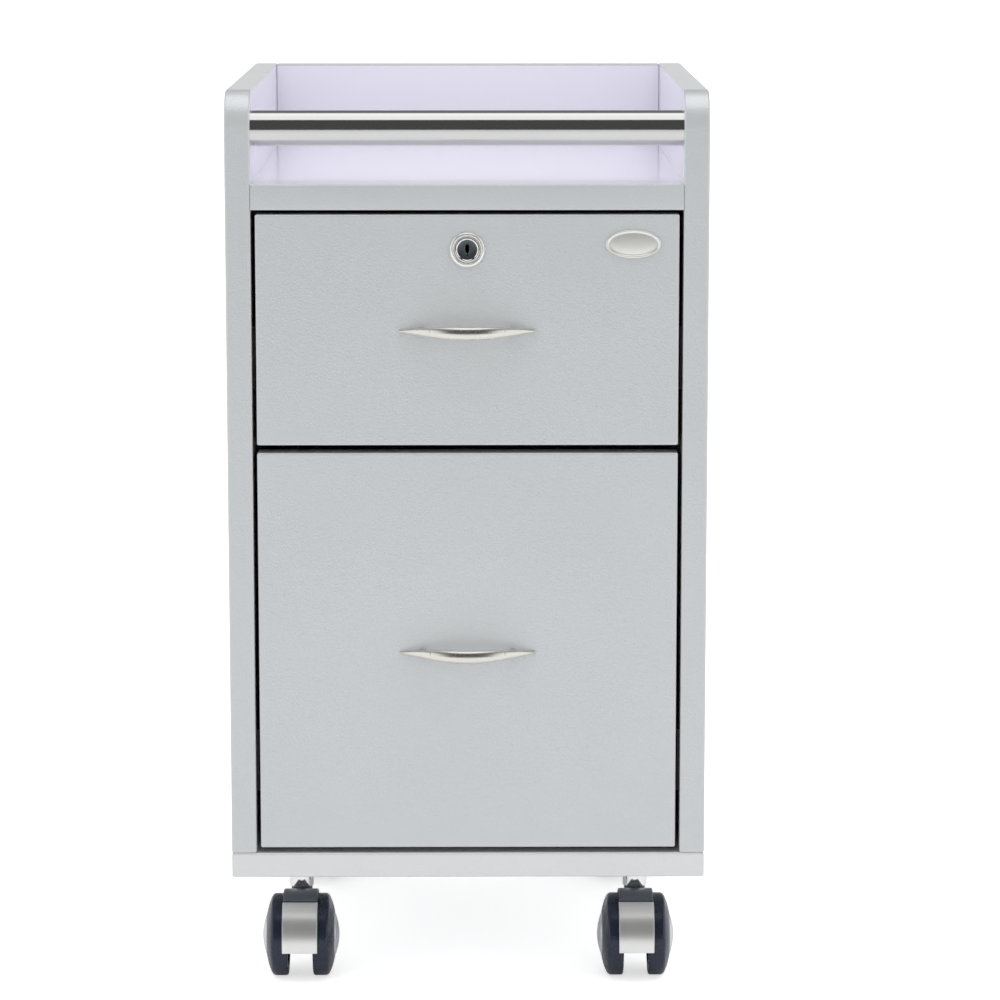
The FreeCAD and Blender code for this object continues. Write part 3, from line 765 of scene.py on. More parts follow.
def dress(node: str, finish: Finish) -> None:
    """Give a carried-over CAD node its finish.

    Args:
        node: The node's name.
        finish: Its finish.
    """
    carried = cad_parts[node]
    if not carried.material_slots:
        carried.data.materials.append(finish.material())
    for slot in carried.material_slots:
        slot.material = finish.material()
    LOG.info("%s keeps its shape in %s", node, finish.name)


# ---------------------------------------------------------------- sub-assemblies


@dataclass
class Carcass:
    """Boards, tray, rail, fixed runner channels and screws.

    Attributes:
        corner_radius: Round top front corner of the sides.
        edge_round: Soft edge of the wrapped boards.
        outline_round: Soft corners of the boards' outlines.
        dark_line_depth: Distance of that darker line behind the front.
        lip: Width of silver foil left round the lining.
    """

    corner_radius: float = 25.0 * MM
    edge_round: float = 1.5 * MM
    outline_round: float = 1.0 * MM
    dark_line_depth: float = 56.0 * MM
    lip: float = 1.0 * MM
    foil: FoilFinish = field(init=False)

    def __post_init__(self) -> None:
        """Work out the lined space from the boards round the tray."""
        left, _ = low_high("left_side_panel")
        right_low, right_high = low_high("right_side_panel")
        _, shelf_high = low_high("tray_shelf")
        back_low, _ = low_high("back_panel")
        hair = 0.25 * MM
        reach = float(right_low[0]) + hair
        low = (-reach, float(left[1]) + self.lip, float(shelf_high[2]) - hair)
        high = (reach, float(back_low[1]) + hair, float(right_high[2]) - self.lip)
        self.foil = FoilFinish("wrapped_foil", "silver_foil", (0.556, 0.576, 0.588), roughness=0.33,
                               coat=0.35, coat_roughness=0.12, metallic=0.25, lining=(low, high), dark_line=float(left[1]) + self.dark_line_depth)

    def side(self, flank: Flank) -> None:
        """Side board with its large top front corner."""
        node = "left_side_panel" if flank is Flank.LEFT else "right_side_panel"
        low, high = low_high(node)
        radii = (self.outline_round, self.outline_round, self.outline_round, self.corner_radius)
        made = make_object(node + "_wrapped", board(low, high, Axis.X, radii, self.edge_round, self.edge_round))
        fit_out(made, "root", self.foil, [node])

    def flat_board(self, node: str, axis: Axis, edge_round: float, foil: FoilFinish) -> None:
        """A plain wrapped board in a node's place."""
        low, high = low_high(node)
        radii = (self.outline_round,) * 4
        made = make_object(node + "_wrapped", board(low, high, axis, radii, edge_round, edge_round))
        fit_out(made, "root", foil, [node])

    def shelf(self) -> None:
        """Tray board: a merged copy of its CAD mesh, mortise and all, with its front edges softened."""
        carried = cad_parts["tray_shelf"]
        low, high = low_high("tray_shelf")
        hair = 0.05 * MM
        shell = bmesh.new()
        shell.from_mesh(carried.data)
        bmesh.ops.remove_doubles(shell, verts=shell.verts, dist=0.01 * MM)
        bmesh.ops.dissolve_limit(shell, angle_limit=math.radians(1.0), verts=shell.verts, edges=shell.edges)
        front = [edge for edge in shell.edges
                 if all(abs(end.co.y - low[1]) < hair for end in edge.verts)
                 and (all(abs(end.co.z - high[2]) < hair for end in edge.verts)
                      or all(abs(end.co.z - low[2]) < hair for end in edge.verts))]
        bmesh.ops.bevel(shell, geom=front, offset=self.edge_round, segments=5, profile=0.5, affect="EDGES")
        mesh = bpy.data.meshes.new("tray_shelf_wrapped")
        shell.to_mesh(mesh)
        shell.free()
        mesh.shade_smooth()
        mesh.set_sharp_from_angle(angle=math.radians(32.0))
        made = bpy.data.objects.new("tray_shelf_wrapped", mesh)
        bpy.context.scene.collection.objects.link(made)
        fit_out(made, "root", self.foil, ["tray_shelf"])

    def rail(self, wall: float = 1.2 * MM, steps: int = 40) -> None:
        """Rail tube: a ring-shaped profile turned about the rail's axis."""
        low, high = low_high("tray_rail")
        centre = (low + high) / 2
        half, radius = (high[0] - low[0]) / 2, (high[2] - low[2]) / 2
        outer = np.column_stack([np.linspace(-half, half, steps), np.full(steps, radius)])
        inner = np.column_stack([np.linspace(half, -half, steps), np.full(steps, radius - wall)])
        made = make_object("tray_rail_tube", turned(np.vstack([outer, inner]), Axis.X, centre, segments=128,
                                                    closed=True))
        fit_out(made, "root", RAIL_STEEL, ["tray_rail"])

    def build(self) -> None:
        """Build and dress every piece of the carcass."""
        self.side(Flank.LEFT)
        self.side(Flank.RIGHT)
        # The bottom board gets a lighter copy of the same foil: painted light for the brighter light it catches from
        # the floor below.
        pale = replace(self.foil, name="foil_painted_floor_light", colour=(0.665, 0.677, 0.680), lining=None)
        self.flat_board("bottom_panel", Axis.Z, self.edge_round, pale)
        self.flat_board("back_panel", Axis.Y, 0.8 * MM, self.foil)
        self.rail()
        self.shelf()
        dress("carcass_screws", ZINC)
        dress("cabinet_runners", SHADED_RUNNER_ZINC)


@dataclass
class BowHandle:
    """Leaf-shaped bow on two round feet.

    Attributes:
        body: The drawer that it rides on.
        node: The CAD node that it stands for.
        hole_spacing: Distance between the feet.
        foot_radius: Radius of a foot.
        tip_gap: Clearance of the tips from the drawer front.
        tip_size: Height and thickness of the tips.
        thickness: Thickness in the middle.
        power: Exponent of the bow's curve.
        joint: Distance from the middle to the two fine grooves.
    """

    body: str
    node: str
    hole_spacing: float = 64.0 * MM
    foot_radius: float = 2.2 * MM
    tip_gap: float = 0.4 * MM
    tip_size: tuple[float, float] = (1.2 * MM, 1.6 * MM)
    thickness: float = 7.0 * MM
    power: float = 1.3
    joint: float = 26.0 * MM

    def standoff(self, x: Array, half_length: float, projection: float) -> Array:
        """Centre line's distance from the front: tip + (middle - tip) cos(pi x / length) ^ power."""
        tip = self.tip_gap + self.tip_size[1] / 2
        middle = projection - self.thickness / 2
        share = np.clip(np.cos(math.pi * x / (2 * half_length)), 0.0, 1.0)
        return tip + (middle - tip) * share ** self.power

    def bow(self, low: Array, high: Array, front: float) -> Surface:
        """Bow: ovals along the curve, full in the middle, thin at the tips, grooved at the joints.

        The oval's point at angle a is (half thickness |cos a|^q, half height |sin a|^q) with their
        signs kept, where q rises from 1 to 1.25 towards the tips, which sharpens the leaf's ridge.

        Args:
            low: Lowest corner of the handle's box.
            high: Highest corner.
            front: Y of the drawer front's face.

        Returns:
            The closed surface.
        """
        half_length = (high[0] - low[0]) / 2
        middle_z = (low[2] + high[2]) / 2
        x = half_length * np.sin(np.linspace(-math.pi / 2, math.pi / 2, 161))
        x = np.sort(np.concatenate([x, self.joint + np.array([-0.8, -0.4, 0, 0.4, 0.8]) * MM,
                                    -self.joint + np.array([-0.8, -0.4, 0, 0.4, 0.8]) * MM]))
        share = np.abs(x) / half_length
        fullness = 1 - share ** 2
        groove = 0.09 * MM * np.exp(-((np.abs(x) - self.joint) / (0.35 * MM)) ** 2)
        tall = (self.tip_size[0] + ((high[2] - low[2]) - self.tip_size[0]) * fullness) / 2 - groove
        thick = (self.tip_size[1] + (self.thickness - self.tip_size[1]) * fullness) / 2 - groove
        angle = np.linspace(0.0, 2 * math.pi, 64, endpoint=False)[None, :]
        power = (1 + 0.25 * share)[:, None]
        across = np.sign(np.cos(angle)) * np.abs(np.cos(angle)) ** power
        upward = np.sign(np.sin(angle)) * np.abs(np.sin(angle)) ** power
        centre = front - self.standoff(x, half_length, front - low[1])
        points = np.empty((len(x), angle.size, 3))
        points[..., 0] = x[:, None] + (low[0] + high[0]) / 2
        points[..., 1] = centre[:, None] - thick[:, None] * across
        points[..., 2] = middle_z + tall[:, None] * upward
        return net(points, caps=True)

    def foot(self, x: float, z: float, front: float, reach: float) -> Surface:
        """Foot: a short round post with a fine chamfer where it meets the drawer front."""
        rim = 0.25 * MM
        corners = [(0.0, 0.0), (0.0, self.foot_radius - rim), (rim, self.foot_radius),
                   (reach, self.foot_radius), (reach, 0.0)]
        return turned(np.array(corners), Axis.Y, (x, front, z), outwards=-1.0, segments=48)

    def build(self) -> None:
        """Build the handle in nickel and dress its screws."""
        low, high = low_high(self.node)
        front = float(high[1])
        middle_z = float(low[2] + high[2]) / 2
        half_length = float(high[0] - low[0]) / 2
        surface = self.bow(low, high, front)
        offset = self.hole_spacing / 2
        reach = float(self.standoff(np.array([offset]), half_length, front - float(low[1]))[0])
        for x in (-offset, offset):
            surface = surface + self.foot(x, middle_z, front, reach)
        made = make_object(self.node + "_bow", surface)
        fit_out(made, self.body, NICKEL, [self.node])
        dress(self.node + "_screws", ZINC)


@dataclass
class Drawer:
    """One drawer: its soft-edged front, box, runners and handle.

    Attributes:
        name: top or bottom.
        foil: The foil of its front.
        face_round: Soft edge round the face.
        rear_round: Edge radius at the back of the front board.
        lock_node: Node of the lock's barrel, if the front is bored for one.
        lock_bore: Radius of that bore.
    """

    name: str
    foil: FoilFinish
    face_round: float = 1.3 * MM
    rear_round: float = 0.6 * MM
    lock_node: str | None = None
    lock_bore: float = 9.7 * MM

    def front(self) -> None:
        """Front board, its face's edges and corners well rounded."""
        node = self.name + "_drawer_front"
        low, high = low_high(node)
        hole = None
        if self.lock_node:
            lock_low, lock_high = low_high(self.lock_node)
            hole = (((lock_low + lock_high) / 2)[[0, 2]], self.lock_bore)
        shape = board(low, high, Axis.Y, (self.face_round,) * 4, self.face_round, self.rear_round, hole)
        fit_out(make_object(node + "_wrapped", shape), self.name + "_drawer", self.foil, [node])

    def build(self) -> None:
        """Build and dress the whole drawer."""
        self.front()
        for part in ("sides", "rear", "bottom"):
            dress(f"{self.name}_drawer_{part}", BOX_BOARD)
        dress(self.name + "_drawer_runners", SHADED_RUNNER_ZINC)
        dress(self.name + "_middle_runners", SHADED_RUNNER_ZINC)
        BowHandle(self.name + "_drawer", self.name + "_handle").build()


@dataclass
class CamLock:
    """Chrome barrel, dark plug with an upright keyway, nut and cam.

    Attributes:
        flange_radius: Outer radius of the flange.
        flange_height: How far the flange stands proud.
        groove_radius: Radius of the groove between flange and plug.
        plug_radius: Radius of the plug's head.
        face_radius: Radius of the plug's recessed face.
        key_half: Half width and half height of the oval keyway.
        key_rise: Height of the keyway's middle above the lock's axis.
        slit: Half width of the narrow slit below the keyway, and its reach from the keyway's middle.
        key_depth: Depth of the keyway.
        tail: Half width and length of the square tail that carries the cam.
    """

    flange_radius: float = 12.3 * MM
    flange_height: float = 2.4 * MM
    groove_radius: float = 9.7 * MM
    plug_radius: float = 8.7 * MM
    face_radius: float = 7.1 * MM
    key_half: tuple[float, float] = (1.25 * MM, 2.8 * MM)
    key_rise: float = 0.9 * MM
    slit: tuple[float, float] = (0.35 * MM, 5.2 * MM)
    key_depth: float = 8.0 * MM
    tail: tuple[float, float] = (3.4 * MM, 2.5 * MM)

    def centre(self) -> Array:
        """Point on the lock's axis, in the plane of the drawer front's face."""
        low, high = low_high("lock_barrel")
        return np.array([(low[0] + high[0]) / 2, low[1] + self.flange_height, (low[2] + high[2]) / 2])

    def barrel(self) -> None:
        """Barrel: a full rounded ring outside, a groove inside it, and a bore for the plug."""
        tall, outer, bore = self.flange_height, self.flange_radius, self.plug_radius + 0.05 * MM
        _, high = low_high("lock_barrel")
        rear = self.centre()[1] - high[1]
        ring = rounded_path([(0.0, outer), (tall, outer), (tall, self.groove_radius), (0.5 * MM, self.groove_radius)],
                            [0, 1.9 * MM, 1.0 * MM, 0], closed=False, steps=10)
        inside = np.array([(0.5 * MM, bore), (-4.0 * MM, bore), (-4.0 * MM, 6.05 * MM), (rear, 6.05 * MM),
                           (rear, 9.2 * MM), (rear + 0.3 * MM, 9.5 * MM), (0.0, 9.5 * MM)])
        made = make_object("lock_barrel_turned",
                           turned(np.vstack([ring, inside]), Axis.Y, self.centre(), -1.0, 128, closed=True))
        fit_out(made, "top_drawer", BARREL_CHROME, ["lock_barrel"])

    def keyway_reach(self, angle: Array) -> Array:
        """Distance from the keyway's middle to its wall at each angle.

        The oval is (|cos a| / w)^3 + (|sin a| / h)^3 = 1 / r^3. The slit's reach is the lesser of
        s / |cos a| and d / |sin a|, counts only below the middle, and wins where it is the longer.
        """
        cos, sin = np.abs(np.cos(angle)) + 1e-9, np.abs(np.sin(angle)) + 1e-9
        oval = ((cos / self.key_half[0]) ** 3 + (sin / self.key_half[1]) ** 3) ** (-1 / 3)
        slit = np.minimum(self.slit[0] / cos, self.slit[1] / sin)
        return np.where(np.sin(angle) < 0, np.maximum(oval, slit), oval)

    def plug(self) -> None:
        """Plug: a square tail, round rings over the rim to the face, then rings along the keyway.

        Each ring is centre + reach (cos a, sin a), and the keyway's rings have a raised centre. The
        square's reach is its half width over the larger of |cos a| and |sin a|.
        """
        angle = np.linspace(0.0, 2 * math.pi, 384, endpoint=False)
        key = self.keyway_reach(angle)
        lip = self.keyway_reach(np.where(np.sin(angle) < 0, -angle, angle))
        low, high = low_high("lock_plug")
        rear = float(self.centre()[1] - high[1])
        tail_start = rear + self.tail[1]
        square = self.tail[0] / np.maximum(np.abs(np.cos(angle)), np.abs(np.sin(angle)))
        rim = [(-4.0, 6.0), (-4.0, 8.7), (1.35, 8.7), (1.7, 8.55), (1.8, 8.3), (1.8, 7.85), (1.65, 7.5),
               (1.1, 7.1), (1.0, 6.9)]
        rows = [(rear, square, 0.0), (tail_start, square, 0.0), (tail_start, np.full_like(angle, 6.0 * MM), 0.0)]
        rows += [(height * MM, np.full_like(angle, radius * MM), 0.0) for height, radius in rim]
        rows += [(1.0 * MM, np.maximum(lip + 0.95 * MM, key + 0.3 * MM), self.key_rise),
                 (1.45 * MM, np.maximum(lip + 0.70 * MM, key + 0.2 * MM), self.key_rise),
                 (1.45 * MM, np.maximum(lip + 0.30 * MM, key + 0.1 * MM), self.key_rise),
                 (0.8 * MM, key, self.key_rise), (1.0 * MM - self.key_depth, key, self.key_rise)]
        centre = self.centre()
        points = np.empty((len(rows), angle.size, 3))
        for number, (height, reach, rise) in enumerate(rows):
            points[number, :, 0] = centre[0] + reach * np.cos(angle)
            points[number, :, 1] = centre[1] - height
            points[number, :, 2] = centre[2] + rise + reach * np.sin(angle)
        made = make_object("lock_plug_turned", net(points, caps=True), sharp=40.0)
        fit_out(made, "lock", LOCK_FACE, ["lock_plug"])
        self.paint_plug(made)

    def paint_plug(self, plug: bpy.types.Object) -> None:
        """Chrome for the raised rim and the keyway's lips, and near-black painted shade down the keyway."""
        mesh = plug.data
        mesh.materials.append(CHROME.material())
        mesh.materials.append(KEYWAY_SHADE.material())
        centres = np.empty(len(mesh.polygons) * 3)
        mesh.polygons.foreach_get("center", centres)
        offset = centres.reshape(-1, 3) - self.centre()
        height, reach = -offset[:, 1], np.hypot(offset[:, 0], offset[:, 2])
        bright = (reach > self.face_radius - 0.05 * MM) | ((reach < 6.0 * MM) & (height > 1.2 * MM))
        # Faces down the keyway get near-black painted shade.
        shaded_keyway = (reach < 6.0 * MM) & (height < 1.15 * MM) & (height > -self.key_depth) & ~bright
        flat = np.abs(height - 1.0 * MM) < 0.02 * MM
        mesh.polygons.foreach_set("material_index", (bright + 2 * (shaded_keyway & ~flat)).astype(np.int32))

    def build(self) -> None:
        """Build and dress the lock."""
        self.barrel()
        self.plug()
        dress("lock_nut", ZINC)
        dress("lock_cam", ZINC)


@dataclass
class OvalPlate:
    """Blank oval plate with a raised rim and a gently crowned middle.

    Attributes:
        rows: (inset, height, share) of each ring from the outside in: the ring's half axes are the
            plate's, less the inset, times the share.
    """

    rows: tuple[tuple[float, float, float], ...] = (
        (0.0, 0.0, 1.0), (0.0, 0.9, 1.0), (0.15, 1.35, 1.0), (0.5, 1.6, 1.0), (1.1, 1.6, 1.0),
        (1.5, 1.35, 1.0), (1.8, 0.9, 1.0), (2.2, 0.8, 1.0), (2.2, 0.86, 0.93), (2.2, 0.97, 0.8),
        (2.2, 1.07, 0.6), (2.2, 1.13, 0.4), (2.2, 1.16, 0.2), (2.2, 1.17, 0.0))

    def build(self) -> None:
        """Build the plate from its rings: (half axis - inset) * share along each axis."""
        low, high = low_high("badge_plate")
        half = (high - low) / 2
        centre = (low + high) / 2
        angle = np.linspace(0.0, 2 * math.pi, 128, endpoint=False)[None, :]
        inset, height, share = (np.array(self.rows).T[..., None] * np.array([MM, MM, 1.0])[:, None, None])
        points = np.empty((len(self.rows), angle.size, 3))
        points[..., 0] = centre[0] + (half[0] - inset) * share * np.cos(angle)
        points[..., 1] = high[1] - height
        points[..., 2] = centre[2] + (half[2] - inset) * share * np.sin(angle)
        shell = net(points)
        back = Surface(shell.points, shell.faces + [list(range(angle.size))])
        fit_out(make_object("badge_plate_blank", back, sharp=50.0), "top_drawer", PLATE_SATIN, ["badge_plate"])


@dataclass
class Caster:
    """Twin-wheel caster: hood, bright fender, axle, and two wheels with silver caps.

    Attributes:
        name: Which corner of the cabinet it is under.
        arch_radius: Inner radius of the hood's cover and of the fender, about the axle.
        cover: Half width and thickness of the hood's cover.
        cover_angles: Where the cover starts and ends, from the front (0) over the top (90).
        fender: Half width and thickness of the fender.
        fender_start: Angle of the fender's lower edge.
        web_half: Half thickness of the hood's web.
        hub_radius: Radius of the web's hub.
        trail: Distance of the swivel axis behind the axle.
        turret: Radius and height of the swivel turret above the wheels.
    """

    name: str
    arch_radius: float = 31.2 * MM
    cover: tuple[float, float] = (12.5 * MM, 2.0 * MM)
    cover_angles: tuple[float, float] = (61.0, 150.0)
    fender: tuple[float, float] = (12.75 * MM, 1.2 * MM)
    fender_start: float = -11.0
    web_half: float = 8.0 * MM
    hub_radius: float = 10.0 * MM
    trail: float = 18.0 * MM
    turret: tuple[float, float] = (7.7 * MM, 2.1 * MM)

    def axle(self) -> Array:
        """Middle of the axle."""
        low, high = low_high(self.name + "_axle")
        return (low + high) / 2

    def bent_plate(self, half_width: float, thickness: float, start: float, end: float,
                   rounding: float) -> Surface:
        """Plate bent round the axle: a board whose length is wound onto the arch radius.

        A point x across, r out and s along lands at (x, -(R + r) cos(s / R), (R + r) sin(s / R)).

        Args:
            half_width: Half of its width along the axle.
            thickness: Its thickness.
            start: First angle in degrees.
            end: Last angle.
            rounding: Radius of its end edges.

        Returns:
            The closed surface, in place.
        """
        length = math.radians(end - start) * self.arch_radius
        rows = edge_rows(length, rounding, rounding, rounding)
        inner = np.linspace(rounding * 2, length - rounding * 2, 40)
        rows = np.vstack([rows[:len(rows) // 2], np.column_stack([np.zeros_like(inner), inner]),
                          rows[len(rows) // 2:]])
        corner = min(rounding, thickness * 0.45)
        rings = corner_rings(np.array([-half_width, 0.0]), np.array([half_width, thickness]), (corner,) * 4,
                             rows[:, 0], corner / 2, steps=4)
        turn = (math.radians(start) + rows[:, 1] / self.arch_radius)[:, None]
        reach = self.arch_radius + rings[..., 1]
        points = np.stack([rings[..., 0], -reach * np.cos(turn), reach * np.sin(turn)], axis=-1)
        return net(points + self.axle(), caps=True)

    def web(self) -> Surface:
        """Web between the wheels: a wide sector above the axle, a hub round it and a post behind it."""
        radius = self.arch_radius + 0.3 * MM
        over = arc(radius, 180.0 - self.fender_start, 180.0 - self.cover_angles[1], 40)
        post_back = self.trail + self.web_half
        post = np.array([(post_back, radius * math.sin(math.radians(self.cover_angles[1]))),
                         (post_back, 1.0 * MM), (self.hub_radius, 1.0 * MM)])
        hub = arc(self.hub_radius, 0.0, -180.0 - self.fender_start + 1.0, 24)
        path = np.vstack([over, post, hub])[::-1]
        centre = self.axle()

        def place(y: Array, z: Array, x: Array) -> Array:
            return np.stack([x, y, z], axis=-1) + centre

        return plate_from_path(path, -self.web_half, self.web_half, 0.5 * MM, place)

    def hood(self) -> None:
        """Hood: cover, web and turret in one moulding."""
        cover = self.bent_plate(*self.cover, *self.cover_angles, 0.9 * MM)
        radius, height = self.turret
        top = self.hood_top()
        corners = [(-14.0 * MM - height, 0.0), (-14.0 * MM - height, radius), (0.0, radius), (0.0, 0.0)]
        profile = rounded_path(corners, [0, 0, 0.8 * MM, 0], closed=False)
        stem = self.axle() + (0.0, self.trail, 0.0)
        turret = turned(profile, Axis.Z, (stem[0], stem[1], top), segments=64)
        made = make_object(self.name + "_hood_moulded", cover + self.web() + turret)
        fit_out(made, self.name + "_caster", HOOD_PLASTIC, [self.name + "_hood"])

    def hood_top(self) -> float:
        """Height of the turret's top."""
        _, high = low_high(self.name + "_hood")
        return float(high[2])

    def front_fender(self) -> None:
        """Bright fender below the cover's front edge."""
        shape = self.bent_plate(*self.fender, self.fender_start, self.cover_angles[0] - 0.4, 0.4 * MM)
        made = make_object(self.name + "_fender_pressed", shape)
        fit_out(made, self.name + "_caster", SATIN_CHROME, [self.name + "_fender"])

    def wheel(self, side: str) -> None:
        """Wheel: a rounded tread, a convex outer side, and a hollow inner side."""
        node = f"{self.name}_{side}_wheel"
        low, high = low_high(node)
        axle = self.axle()
        outwards = 1.0 if (low[0] + high[0]) / 2 > axle[0] else -1.0
        edges = np.sort(np.abs(np.array([low[0], high[0]]) - axle[0]))
        inner, outer = edges
        radius = (high[2] - low[2]) / 2
        tread = outer - 4.6 * MM
        corners = [(inner, 3.05 * MM), (inner, 8 * MM), (inner + 6 * MM, 8.6 * MM),
                   (inner + 6 * MM, 23.4 * MM), (inner, 24 * MM), (inner, radius), (tread, radius),
                   (outer - 1.7 * MM, 24.0 * MM), (outer, 16.6 * MM), (outer - 1.2 * MM, 16.6 * MM),
                   (outer - 1.2 * MM, 0.0), (outer - 3.1 * MM, 0.0), (outer - 3.1 * MM, 3.05 * MM)]
        radii = [0, 0.5 * MM, 0.8 * MM, 0.8 * MM, 0.5 * MM, 1.8 * MM, 2.4 * MM, 4.0 * MM, 0.3 * MM, 0, 0, 0, 0]
        profile = rounded_path(corners, radii, steps=7)
        shape = turned(profile, Axis.X, axle, outwards, 128, closed=True)
        fit_out(make_object(node + "_moulded", shape), f"{self.name}_{side}_roller", WHEEL_PLASTIC, [node])
        self.cap(side, outer - 1.2 * MM, outwards)

    def cap(self, side: str, seat: float, outwards: float) -> None:
        """Silver cap: a flat rim, a fine step, and a dome whose height falls as 1 - (r / R)^2.

        Args:
            side: Which wheel it closes.
            seat: Distance of its seat from the caster's middle.
            outwards: The wheel's sign along X.
        """
        node = f"{self.name}_{side}_cap"
        low, high = low_high(node)
        radius, tall = (high[2] - low[2]) / 2, high[0] - low[0]
        step = 14.2 * MM
        r = np.linspace(step, 0.0, 24)
        dome = np.column_stack([seat + tall - 2.6 * MM * (r / step) ** 2, r])
        corners = [(seat, 0.0), (seat, radius), (seat + 1.2 * MM, radius), (seat + 1.7 * MM, step + 0.5 * MM),
                   (seat + 1.5 * MM, step + 0.2 * MM)]
        rim = rounded_path(corners, [0, 0, 0.4 * MM, 0.3 * MM, 0], closed=False)
        shape = turned(np.vstack([rim, dome]), Axis.X, self.axle(), outwards, 96)
        fit_out(make_object(node + "_domed", shape), f"{self.name}_{side}_roller", CAP_SILVER, [node])

    def build(self) -> None:
        """Build and dress the whole caster."""
        self.hood()
        self.front_fender()
        dress(self.name + "_axle", AXLE_STEEL)
        for side in ("outer", "inner"):
            self.wheel(side)


@dataclass
class StemCollars:
    """Chrome collars between the casters' hoods and the bottom board.

    Attributes:
        casters: The casters that they belong to.
        radius: Radius of a collar.
        gap: Clearance above the hood.
        skirt: Inner radius and depth of the skirt that hangs round the hood's turret.
    """

    casters: list[Caster]
    radius: float = 8.6 * MM
    gap: float = 0.3 * MM
    skirt: tuple[float, float] = (7.9 * MM, 0.9 * MM)

    def build(self) -> None:
        """Collars with softened rims and one fine groove, each with its pin into the hood."""
        board_foot = float(low_high("bottom_panel")[0][2])
        surface = None
        for caster in self.casters:
            foot = caster.hood_top() + self.gap
            stem = caster.axle() + (0.0, caster.trail, 0.0)
            tall = board_foot - foot
            inside, drop = self.skirt
            corners = [(-20 * MM, 0.0), (-20 * MM, 4 * MM), (0.0, 4 * MM), (0.0, inside), (-drop, inside),
                       (-drop, self.radius),
                       (tall - 3.2 * MM, self.radius), (tall - 2.8 * MM, self.radius - 0.5 * MM),
                       (tall - 2.2 * MM, self.radius - 0.5 * MM), (tall - 1.8 * MM, self.radius),
                       (tall, self.radius), (tall, 0.0)]
            radii = [0, 0, 0, 0, 0, 0.3 * MM, 0.1 * MM, 0.1 * MM, 0.1 * MM, 0.1 * MM, 0.3 * MM, 0]
            profile = rounded_path(corners, radii, closed=False)
            collar = turned(profile, Axis.Z, (stem[0], stem[1], foot), segments=64)
            surface = collar if surface is None else surface + collar
        fit_out(make_object("caster_collars", surface), "root", CHROME, ["caster_stems"])


# ---------------------------------------------------------------- studio


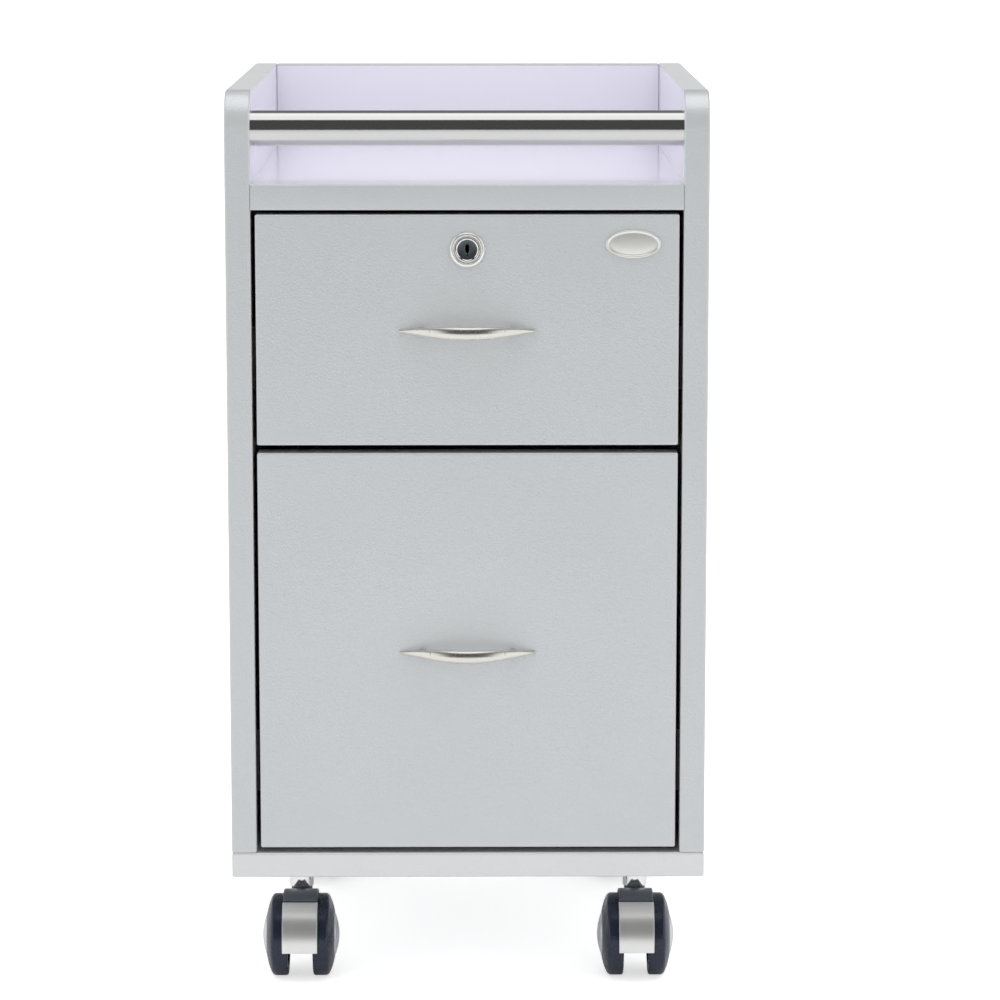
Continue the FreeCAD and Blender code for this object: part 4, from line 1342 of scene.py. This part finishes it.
@dataclass
class Studio:
    """Pale floor, soft lights, a plain surround, and the camera.

    Attributes:
        eye: Place of the camera.
        pitch: How far it looks down, in degrees.
        yaw: How far it is turned from straight ahead, in degrees.
        lens: Focal length for a 36 mm wide sensor.
        floor_glow: Brightness added to the floor where it is seen directly.
        fill: Brightness of the surround as a soft light.
        sides: Brightness of the reflected walls to both sides.
        ceiling: Brightness that the reflected ceiling adds.
    """

    eye: tuple[float, float, float] = (0.00546, -2.8885, 0.800)
    pitch: float = 9.29
    yaw: float = 0.372
    lens: float = 138.87
    floor_glow: float = 0.60
    fill: float = 0.92
    sides: float = 1.15
    ceiling: float = 1.2

    def camera(self) -> None:
        """Camera in front, a little above the cabinet."""
        data = bpy.data.cameras.new("front_camera")
        data.lens, data.sensor_width = self.lens, 36.0
        data.clip_start, data.clip_end = 0.05, 60.0
        made = bpy.data.objects.new("front_camera", data)
        made.location = self.eye
        made.rotation_euler = (math.radians(90.0 - self.pitch), 0.0, math.radians(-self.yaw))
        bpy.context.scene.collection.objects.link(made)
        bpy.context.scene.camera = made

    def floor(self) -> None:
        """Large pale floor."""
        size, front = 90.0, -4.5
        points = np.array([[-size, front, 0.0], [size, front, 0.0], [size, size, 0.0], [-size, size, 0.0]])
        mesh = bpy.data.meshes.new("studio_floor")
        mesh.from_pydata(points.tolist(), [], [[0, 1, 2, 3]])
        made = bpy.data.objects.new("studio_floor", mesh)
        bpy.context.scene.collection.objects.link(made)
        finish = SmoothFinish("studio_paper", "silver_foil", (0.93, 0.93, 0.935), roughness=0.7,
                              contrast=0.006, scale=2.0, unevenness=0.0)
        paper = finish.material()
        shader = paper.node_tree.nodes["Principled BSDF"]
        shader.inputs["Emission Color"].default_value = (1.0, 1.0, 1.0, 1.0)
        nodes = Nodes(paper.node_tree)
        seen = nodes.add("LightPath").outputs["Is Camera Ray"]
        nodes.put(shader.inputs["Emission Strength"], nodes.maths("MULTIPLY", seen, self.floor_glow))
        mesh.materials.append(paper)

    def light(self, name: str, place: Sequence[float], target: Sequence[float], size: float,
              power: float) -> None:
        """Square area light.

        Args:
            name: Its name.
            place: Where it stands.
            target: What it faces.
            size: Side of the square.
            power: Its power in watts.
        """
        data = bpy.data.lights.new(name, "AREA")
        data.shape, data.size, data.energy = "SQUARE", size, power
        made = bpy.data.objects.new(name, data)
        made.location = place
        made.visible_glossy = False
        ahead = np.asarray(target, dtype=float) - np.asarray(place, dtype=float)
        flat = math.hypot(ahead[0], ahead[1])
        made.rotation_euler = (math.atan2(flat, -ahead[2]), 0.0, math.atan2(-ahead[0], ahead[1]))
        bpy.context.scene.collection.objects.link(made)

    def surround(self) -> None:
        """White surround, with dimmer walls ahead and behind for bright metal to reflect.

        What is seen directly is white. What is reflected is sides * (1 - wall) + ceiling * top. The
        wall is nearly 1 ahead and high up behind, much less low down behind, and fades out to both
        sides; the top is 1 round the zenith and a little ahead of it.
        """
        world = bpy.data.worlds.new("studio_surround")
        bpy.context.scene.world = world
        world.use_nodes = True
        world.node_tree.nodes.clear()
        nodes = Nodes(world.node_tree)
        way = nodes.add("SeparateXYZ", {0: nodes.add("TexCoord").outputs["Generated"]}).outputs

        def ramp(value, start: float, end: float, low: float, high: float) -> bpy.types.NodeSocket:
            """Smooth step from low to high as the value goes from start to end."""
            return nodes.add("MapRange", {"Value": value, "From Min": start, "From Max": end, "To Min": low,
                                          "To Max": high}, interpolation_type="SMOOTHSTEP").outputs[0]

        middle = ramp(nodes.maths("ABSOLUTE", way[0]), 0.66, 0.80, 1.0, 0.0)
        behind = ramp(way[2], 0.12, 0.30, 0.25, 0.82)
        wall = nodes.add("Mix", {0: ramp(way[1], -0.05, 0.10, 0.0, 1.0), 2: 0.93, 3: behind},
                         data_type="FLOAT").outputs[0]
        ahead = nodes.maths("MULTIPLY", middle, wall)
        top = nodes.maths("MULTIPLY", ramp(way[2], 0.82, 0.88, 0.0, 1.0), ramp(way[1], 0.34, 0.54, 1.0, 0.0))
        low = nodes.maths("MULTIPLY", nodes.maths("SUBTRACT", 1.0, ahead), self.sides)
        reflected = nodes.maths("MULTIPLY_ADD", top, self.ceiling, low)
        path = nodes.add("LightPath")
        lit = nodes.add("Mix", {0: path.outputs["Is Glossy Ray"], 2: self.fill, 3: reflected},
                        data_type="FLOAT").outputs[0]
        seen = nodes.add("Mix", {0: path.outputs["Is Camera Ray"], 2: lit, 3: 1.0},
                         data_type="FLOAT").outputs[0]
        back = nodes.add("Background", {"Color": (1.0, 1.0, 1.0, 1.0), "Strength": seen})
        world.node_tree.links.new(back.outputs[0], nodes.add("OutputWorld").inputs[0])

    def build(self) -> None:
        """Set up the studio."""
        bpy.context.scene.view_settings.view_transform = "Standard"
        self.camera()
        self.floor()
        self.surround()
        self.light("overhead_softbox", (0.0, -0.4, 2.3), (0.0, 0.0, 0.4), 1.6, 13.0)
        self.light("left_softbox", (-1.4, -1.5, 0.35), (0.0, 0.0, 0.1), 1.0, 3.2)
        self.light("right_softbox", (1.4, -1.5, 0.35), (0.0, 0.0, 0.1), 1.0, 3.6)


def main() -> None:
    """Build every sub-assembly in order, then the studio."""
    logging.basicConfig(level=logging.INFO, format="%(name)s: %(message)s")
    carcass = Carcass()
    carcass.build()
    Drawer("top", carcass.foil, lock_node="lock_barrel").build()
    Drawer("bottom", carcass.foil).build()
    CamLock().build()
    OvalPlate().build()
    dress("file_bars", ZINC)
    casters = [Caster(name) for name in ("front_left", "front_right", "rear_left", "rear_right")]
    for caster in casters:
        caster.build()
    StemCollars(casters).build()
    Studio().build()


if __name__ == "__main__":
    main()
